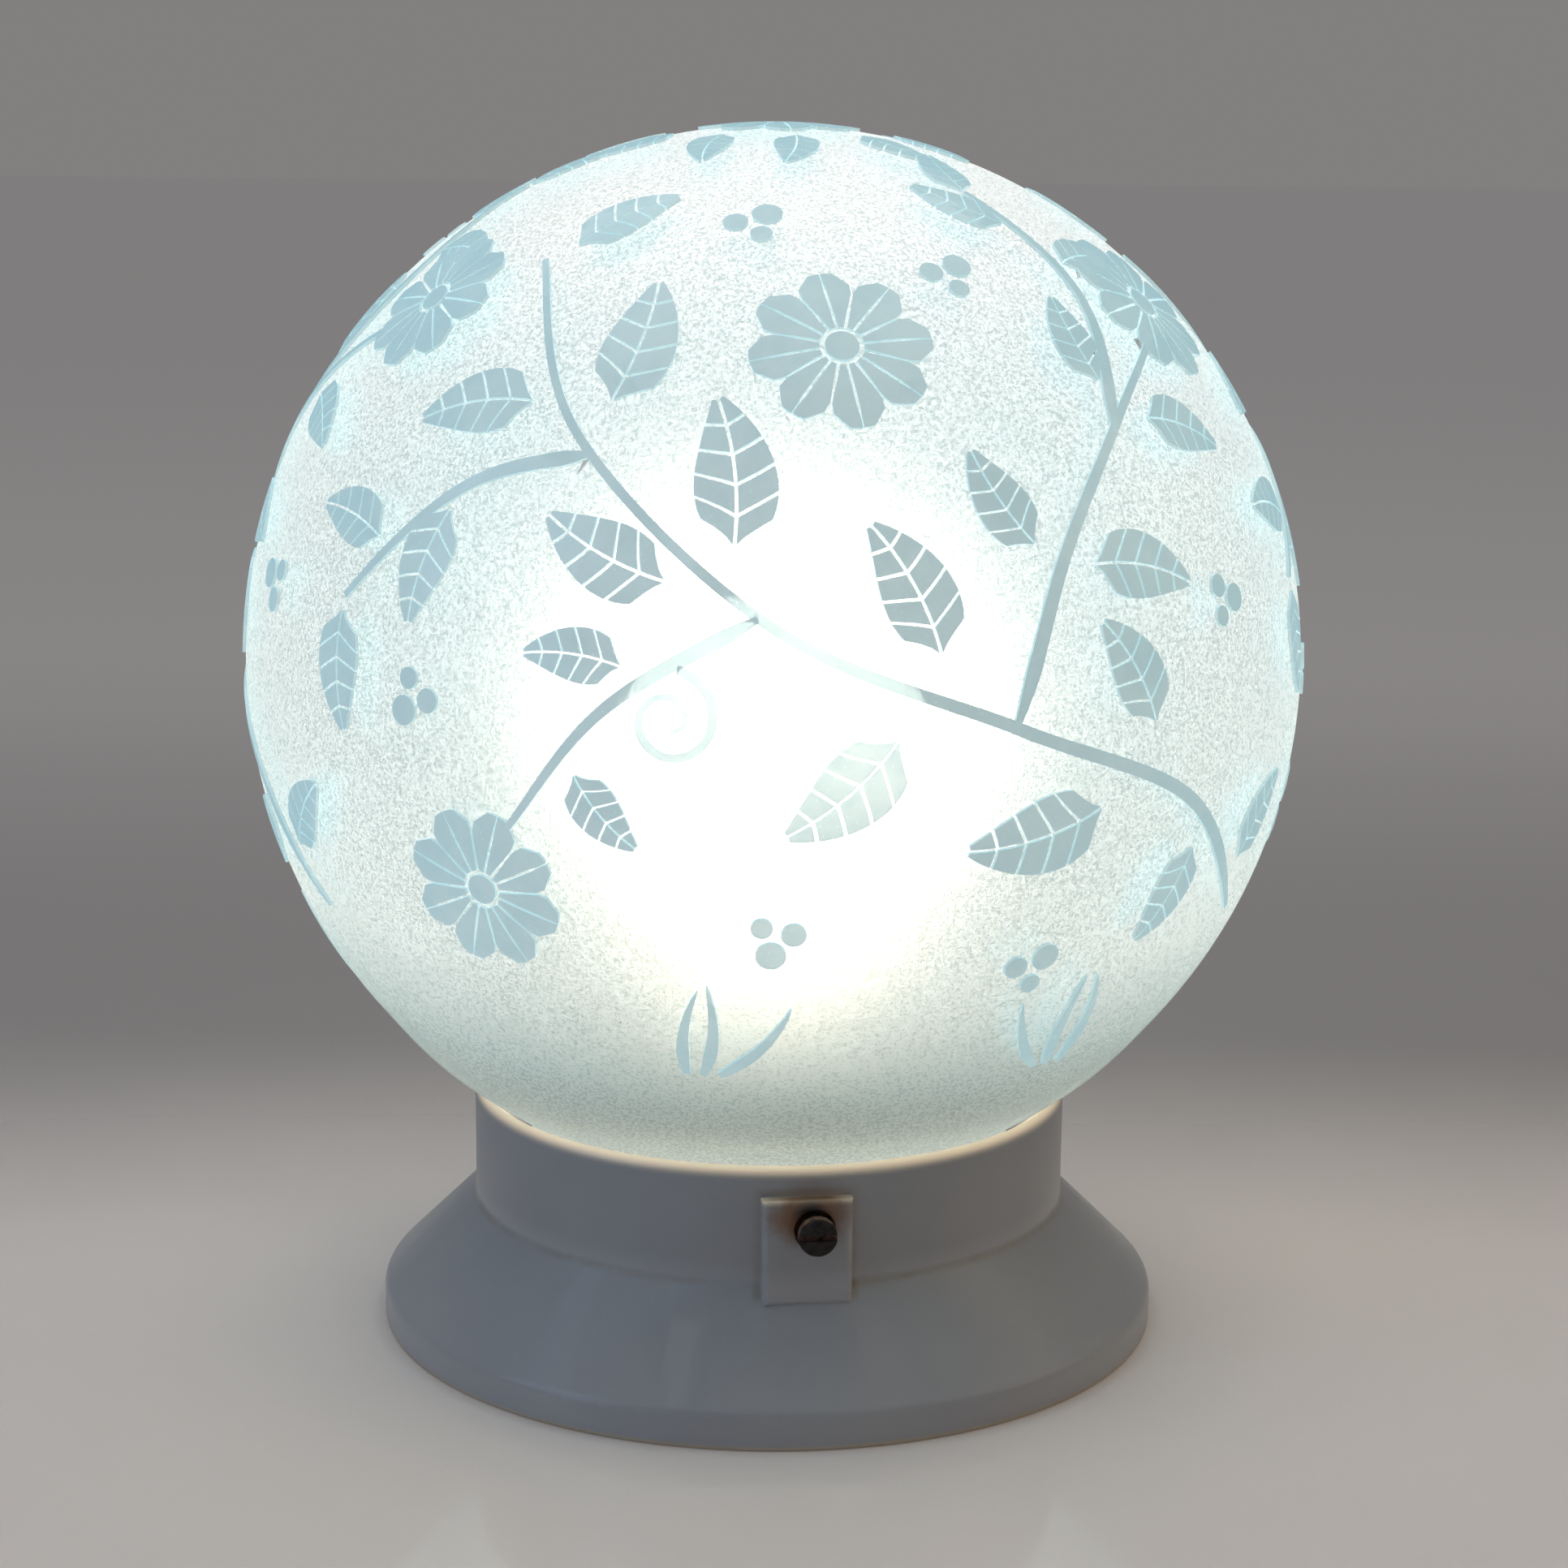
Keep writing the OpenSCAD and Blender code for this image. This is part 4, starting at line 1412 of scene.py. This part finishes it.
@dataclass
class RetainingScrews:
    """The three rusty slotted screws that reach in over the globe's lip."""

    head_r: float = 3.5
    head_h: float = 2.6
    under_round: float = 0.25
    top_round: float = 0.7
    crown: float = 0.05
    flat_r: float = 1.8
    shank_r: float = 2.0
    root_r: float = 1.72
    pitch: float = 0.7
    slot_w: float = 1.0
    slot_depth: float = 1.1
    seats: tuple[float, ...] = (62.5, 60.9, 60.9)
    end: float = 51.3
    axis_z: float = SCREW_Z
    tip_bore: float = 1.4
    tip_depth: float = 1.9
    pits: float = 0.05
    pit_scale: float = 900.0

    def outline(self, seat: float) -> list[Point]:
        """The outline of a screw whose head starts at a seat, from its bored end up to its head.

        Args:
            seat: Where the head starts, in millimetres from the lamp's axis.

        Returns:
            Points of radius and height, in millimetres.
        """
        points = [(0.0, self.end + self.tip_depth), (self.tip_bore, self.end + self.tip_depth),
                  (self.tip_bore, self.end), (self.root_r, self.end)]
        height = self.end + 0.1
        while height < seat - self.pitch:
            points += [(self.shank_r, height + self.pitch * 0.5), (self.root_r, height + self.pitch)]
            height += self.pitch
        top = seat + self.head_h
        under, over = self.head_r - self.under_round, self.head_r - self.top_round
        points += [(self.root_r, seat), (under, seat)]
        points += arc((under, seat + self.under_round), self.under_round, -90.0, 0.0, 3)[1:]
        points += arc((over, top - (self.top_round + self.crown)), self.top_round, 0.0, 80.0, 5)
        points += [(self.flat_r, top - self.crown * 0.3), (0.0, top)]
        return points

    def build(self) -> list[bpy.types.Object]:
        """Models the screws, each to its own depth, and puts them in the three pads.

        Returns:
            The three screws.
        """
        finish = RustySteel().make()
        pieces = []
        for k, seat in enumerate(self.seats):
            piece = self.screw(f"rusty_screw_{k + 1}", seat)
            self.corrode(piece, seat, k)
            turn = Matrix.Rotation(math.radians(THIRD_TURN * k - 90.0), 4, "Z")
            up = Matrix.Translation((0, 0, self.axis_z * MM))
            Bench.place(piece, turn @ up @ Matrix.Rotation(math.radians(90.0), 4, "Y"))
            Bench.smooth(piece, 40.0)
            piece.data.materials.clear()
            piece.data.materials.append(finish)
            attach(piece, f"retainer_{k + 1}")
            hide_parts(f"retaining_screw_{k + 1}")
            pieces.append(piece)
        return pieces

    def screw(self, name: str, seat: float) -> bpy.types.Object:
        """Models one slotted screw along Z, its head starting at a seat.

        Args:
            name: The name of the new piece.
            seat: Where its head starts, in millimetres.

        Returns:
            The screw, upright on the origin's axis.
        """
        piece = Bench.lathe(name, self.outline(seat), 40)
        Bench.clear()
        bpy.ops.mesh.primitive_cube_add(size=1.0)
        tool = bpy.context.object
        Bench.place(tool, Matrix.Translation((0, 0, (seat + self.head_h) * MM)) @ Matrix.Diagonal(
            (self.slot_w * MM, 4 * self.head_r * MM, 2 * self.slot_depth * MM, 1.0)))
        Bench.cut(piece, tool)
        Bench.edit(piece, lambda: bpy.ops.mesh.subdivide(number_cuts=1))
        return piece

    def corrode(self, piece: bpy.types.Object, seat: float, number: int) -> None:
        """Eats small pits into a screw's head, inwards alone.

        Args:
            piece: The upright screw.
            seat: Where its head starts, in millimetres.
            number: Which screw it is, so that each wears differently.
        """
        for vertex in piece.data.vertices:
            bite = max(noise.noise(vertex.co * self.pit_scale + Vector((number * 7.0, 0, 0))), 0.0)
            share = 1.0 - bite * self.pits / self.head_r
            if vertex.co.z > seat * MM:
                vertex.co = (vertex.co.x * share, vertex.co.y * share, vertex.co.z - bite * self.pits * MM)


# The bulb and its holder


@dataclass
class Bulb:
    """The screw-in bulb: a pear of pearl glass on a cap with a rolled thread."""

    radius: float = 30.0
    ball_z: float = 111.3
    neck_r: float = 14.0
    flank_r: float = 40.0
    wall: float = 0.8
    cap_top: float = 62.3
    cap_r: float = 13.2
    thread_depth: float = 1.1
    pitch: float = BULB_PITCH
    cap_wall: float = 0.45
    thread_low: float = 39.9
    collar_low: float = 59.3
    collar_fit: float = 0.1
    edge_r: float = 10.5
    fold: float = 0.4

    def pear(self, inset: float) -> list[Point]:
        """One side of the glass, from the top down to the cap.

        Args:
            inset: How far inside the outer side it lies, in millimetres.

        Returns:
            Points of radius and height, in millimetres.
        """
        ball, neck, flank = self.radius - inset, self.neck_r - inset, self.flank_r + inset
        flank_z = self.ball_z - math.sqrt((ball + flank) ** 2 - (neck + flank) ** 2)
        tilt = math.degrees(math.atan2(flank_z - self.ball_z, neck + flank))
        return [
            *arc((0.0, self.ball_z), ball, 90.0, tilt, 44),
            *arc((neck + flank, flank_z), flank, tilt + 180.0, 180.0, 14)[1:],
            (neck, (flank_z + self.cap_top) / 2),
            (neck, self.cap_top),
        ]

    def build(self) -> list[bpy.types.Object]:
        """Models the glass and the cap.

        Returns:
            Both pieces.
        """
        glass = Bench.lathe("bulb_glass", [*self.pear(0.0), *reversed(self.pear(self.wall))], 96)
        Bench.smooth(glass, 40.0)
        glass.data.materials.append(BulbGlow().make())
        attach(glass, "bulb")
        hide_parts("bulb_envelope")
        cap = self.cap()
        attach(cap, "bulb")
        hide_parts("bulb_cap")
        return [glass, cap]

    def cap(self) -> bpy.types.Object:
        """The drawn cap with its rolled thread.

        Returns:
            The cap, dressed.
        """
        root = self.cap_r - self.thread_depth - self.cap_wall
        crest = root + self.cap_wall
        collar = self.neck_r + self.collar_fit
        low, high = self.thread_low + 2 * self.fold, self.collar_low - self.fold
        levels = spread(low, high, 72)
        outer = [(self.edge_r, self.thread_low), (crest - self.fold, self.thread_low),
                 (crest, self.thread_low + self.fold)]
        outer += [(crest, z) for z in levels]
        outer += [(collar + 0.05, self.collar_low), (collar + self.cap_wall, self.collar_low + self.fold),
                  (collar + self.cap_wall, self.cap_top + 0.25), (collar + 0.2, self.cap_top + self.fold)]
        inner = [(collar, self.cap_top + 0.3), (collar, self.collar_low + 0.6), (root, self.collar_low)]
        inner += [(root, z) for z in reversed(levels)]
        inner += [(r, self.thread_low + self.cap_wall) for r in (root, self.edge_r)]
        piece = Bench.lathe("threaded_cap", [*outer, *inner], 72, closed=True)
        roll_thread(piece, self.thread_depth, self.pitch, low, high)
        Bench.smooth(piece, 45.0)
        piece.data.materials.append(
            Metal("cap_metal", (0.72, 0.72, 0.73), (0.34, 0.32, 0.30), 0.28, (0.55, 0.85), 260.0).make()
        )
        return piece


def roll_thread(piece: bpy.types.Object, depth: float, pitch: float, low: float, high: float) -> None:
    """Rolls a round thread into a turned wall.

    Args:
        piece: The wall, its points already close enough along its height.
        depth: How far the thread stands out, in millimetres.
        pitch: Its pitch.
        low: Where it starts.
        high: Where it ends.
    """
    for vertex in piece.data.vertices:
        height = vertex.co.z / MM
        if low - 1e-3 <= height <= high + 1e-3:
            fade = min(min(height - low, high - height) / (0.6 * pitch), 1.0)
            angle = math.atan2(vertex.co.y, vertex.co.x)
            wave = 0.5 - 0.5 * math.cos(2.0 * math.pi * (height - low) / pitch - angle)
            radius = math.hypot(vertex.co.x, vertex.co.y)
            grown = radius + depth * wave * max(fade, 0.0) * MM
            vertex.co.x *= grown / radius
            vertex.co.y *= grown / radius


@dataclass
class Holder:
    """The lampholder's screw shell, with its rolled thread."""

    inner_r: float = 13.5
    wall: float = 0.5
    thread_depth: float = 0.55
    pitch: float = BULB_PITCH
    low: float = 34.6
    high: float = 58.0

    def build(self) -> bpy.types.Object:
        """Models the shell and dresses it.

        Returns:
            The shell.
        """
        first, last = self.low + 0.5, self.high - 0.5
        levels = spread(first, last, 78)
        outer_r = self.inner_r + self.wall
        outline = [(self.inner_r, self.low), (outer_r, self.low), *[(outer_r, z) for z in levels],
                   (outer_r, self.high), (self.inner_r, self.high),
                   *[(self.inner_r, z) for z in reversed(levels)]]
        piece = Bench.lathe("threaded_shell", outline, 72, closed=True)
        roll_thread(piece, self.thread_depth, self.pitch, first, last)
        Bench.smooth(piece, 45.0)
        piece.data.materials.append(BRASS.make())
        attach(piece, "base")
        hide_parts("screw_shell")
        return piece


# Finishes of the nodes that show as they are

BRASS = Metal("brass", (0.70, 0.50, 0.20), (0.30, 0.19, 0.08), 0.30)
NODE_FINISHES: tuple[tuple[Finish, tuple[str, ...]], ...] = (
    # The bushes' brass is darkened past its tarnish with painted shade, so the bores behind the screw
    # heads read as shadow.
    (Metal("tarnished_brass_in_shade", (0.11, 0.065, 0.03), (0.03, 0.018, 0.012), 0.6), ("thread_bushes",)),
    (BRASS, ("live_terminal", "neutral_terminal", "terminal_screws", "connector_barrels")),
    (Metal("spring_bronze", (0.62, 0.38, 0.20), (0.28, 0.16, 0.09), 0.32),
     ("centre_contact", "shell_contact")),
    (Metal("zinc_steel", (0.62, 0.62, 0.60), (0.36, 0.33, 0.27), 0.38),
     ("holder_screws", "holder_nuts", "connector_screws", "connector_bolt", "connector_nut")),
    (Metal("solder", (0.55, 0.55, 0.54), (0.30, 0.30, 0.29), 0.42), ("bulb_contact",)),
    (Metal("wire", (0.58, 0.55, 0.50), (0.30, 0.27, 0.23), 0.35), ("bulb_wires",)),
    (Metal("tungsten", (0.40, 0.39, 0.38), (0.20, 0.18, 0.17), 0.45), ("bulb_filament",)),
    (PlainPorcelain(), ("lampholder_body",)),
    (ClearGlass("clear_glass"), ("bulb_stem",)),
    (Moulded("black_glass", (0.02, 0.018, 0.022), 0.15), ("bulb_insulator",)),
    (Moulded("fibre", (0.46, 0.34, 0.22), 0.7), ("screw_tip_1", "screw_tip_2", "screw_tip_3")),
    (Moulded("block_plastic", (0.72, 0.67, 0.54), 0.45), ("connector_block",)),
    (Moulded("brown_insulation", (0.16, 0.075, 0.04), 0.45), ("live_lead",)),
    (Moulded("blue_insulation", (0.05, 0.13, 0.36), 0.45), ("neutral_lead",)),
)


def dress_nodes() -> None:
    """Gives each node that stays in view its own finish."""
    for finish, names in NODE_FINISHES:
        material = finish.make()
        for name in names:
            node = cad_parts[name]
            node.data.materials.clear()
            node.data.materials.append(material)
            log.info("node %s: %s", name, material.name)


# The studio


@dataclass(frozen=True)
class SoftLamp:
    """One large square lamp: where it hangs, its width, its power in watts and its colour."""

    name: str
    place: tuple[float, float, float]
    width: float
    power: float
    colour: Colour


@dataclass
class Studio:
    """The floor, the soft lights and the camera."""

    focal_px: float = 3870.0
    distance: float = 0.5923
    height: float = 0.2289
    bearing: float = -8.0
    pitch: float = 11.87
    yaw: float = -0.216
    roll: float = 0.627
    sensor: float = 36.0
    floor_size: float = 24.0
    floor_ior: float = 1.7
    near_rough: float = 0.07
    rough_rise: float = 0.35
    near_colour: Colour = (0.88, 0.81, 0.77)
    far_colour: Colour = (0.22, 0.214, 0.21)
    near_glow: Colour = (0.040, 0.036, 0.034)
    far_glow: Colour = (0.074, 0.069, 0.068)
    farther_glow: Colour = (0.150, 0.142, 0.140)
    turn_grey: tuple[float, float] = (0.01, 0.195)
    turn_pale: tuple[float, float] = (0.22, 0.80)
    sky_seen: Colour = (0.225, 0.214, 0.214)
    sky_light: Colour = (0.95, 0.97, 1.0)
    world_light: float = 0.15
    aim_z: float = 0.08
    lamps: tuple[SoftLamp, ...] = (
        SoftLamp("top", (0.0, 0.2, 1.5), 1.6, 7.4, (1.0, 0.97, 0.93)),
        SoftLamp("left", (-1.3, -0.5, 0.7), 1.0, 3.4, (0.42, 0.64, 1.0)),
        SoftLamp("right", (1.3, -0.3, 0.7), 1.0, 1.9, (1.0, 0.76, 0.50)),
    )

    def build(self) -> None:
        """Sets the stage up."""
        self.floor()
        self.world()
        self.lights()
        self.camera()
        bpy.context.scene.view_settings.view_transform = "Standard"

    def floor(self) -> None:
        """A pale tabletop that turns grey behind the lamp."""
        Bench.clear()
        bpy.ops.mesh.primitive_plane_add(size=self.floor_size)
        piece = Bench.name(bpy.context.object, "floor")
        s = Shader.named("floor")
        x, y, _ = s.axes()
        bearing = math.radians(self.bearing)
        away = y * math.cos(bearing) - x * math.sin(bearing)
        tone = (away + (s.noise(5.0) - 0.5) * 0.05).step(*self.turn_grey)
        glow = s.mix(away.step(*self.turn_pale), self.far_glow, self.farther_glow)
        piece.data.materials.append(
            s.surface(
                Base_Color=s.mix(tone, self.near_colour, self.far_colour),
                Roughness=self.near_rough + tone * self.rough_rise,
                IOR=self.floor_ior,
                Emission_Color=s.mix(tone, self.near_glow, glow),
                Emission_Strength=1.0,
                Normal=s.bump(s.noise(40.0), 0.02),
            )
        )

    def world(self) -> None:
        """An even sky, seen as the grey of the far floor."""
        s = Shader(bpy.data.worlds.new("studio"))
        bpy.context.scene.world = s.owner
        sky = s.node("Background", {}, {"Color": self.sky_light, "Strength": self.world_light})
        seen = s.node("Background", {}, {"Color": self.sky_seen, "Strength": 1.0})
        camera_ray = s.node("LightPath", {}, {}, "Is Camera Ray")
        s.end(s.node("MixShader", {}, {0: camera_ray, 1: sky, 2: seen}), "ShaderNodeOutputWorld")

    def lights(self) -> None:
        """Large soft lamps above, cool on the left and warm on the right."""
        for soft in self.lamps:
            lamp = bpy.data.lights.new(soft.name, "AREA")
            lamp.size = soft.width
            lamp.energy = soft.power
            lamp.color = soft.colour
            holder = bpy.data.objects.new(soft.name, lamp)
            bpy.context.scene.collection.objects.link(holder)
            holder.location = soft.place
            aim = Vector((0.0, 0.0, self.aim_z)) - holder.location
            holder.rotation_euler = aim.to_track_quat("-Z", "Y").to_euler()

    def camera(self) -> None:
        """The camera at the photograph's own angle."""
        lens = bpy.data.cameras.new("camera")
        lens.sensor_width = self.sensor
        lens.lens = self.focal_px / PHOTO_PX * self.sensor
        lens.clip_start = 0.01
        eye = bpy.data.objects.new("camera", lens)
        bpy.context.scene.collection.objects.link(eye)
        bearing = math.radians(self.bearing)
        spot = Vector((math.sin(bearing), -math.cos(bearing), 0.0)) * self.distance
        turn = Matrix.Rotation(bearing + math.radians(self.yaw), 4, "Z")
        tilt = Matrix.Rotation(math.radians(90.0 - self.pitch), 4, "X")
        eye.matrix_world = (
            Matrix.Translation(spot + Vector((0.0, 0.0, self.height)))
            @ turn @ tilt @ Matrix.Rotation(math.radians(self.roll), 4, "Z")
        )
        bpy.context.scene.camera = eye


def main() -> None:
    """Builds and dresses the lamp and sets the studio up."""
    logging.basicConfig(level=logging.INFO, format="%(message)s")
    dress_nodes()
    pieces: list[bpy.types.Object] = [Base().build(), Globe().build(), Holder().build()]
    pieces += RetainingScrews().build()
    pieces += Bulb().build()
    for piece in pieces:
        log.info("piece %s: %d faces", piece.name, len(piece.data.polygons))
    Studio().build()


if __name__ == "__main__":
    main()
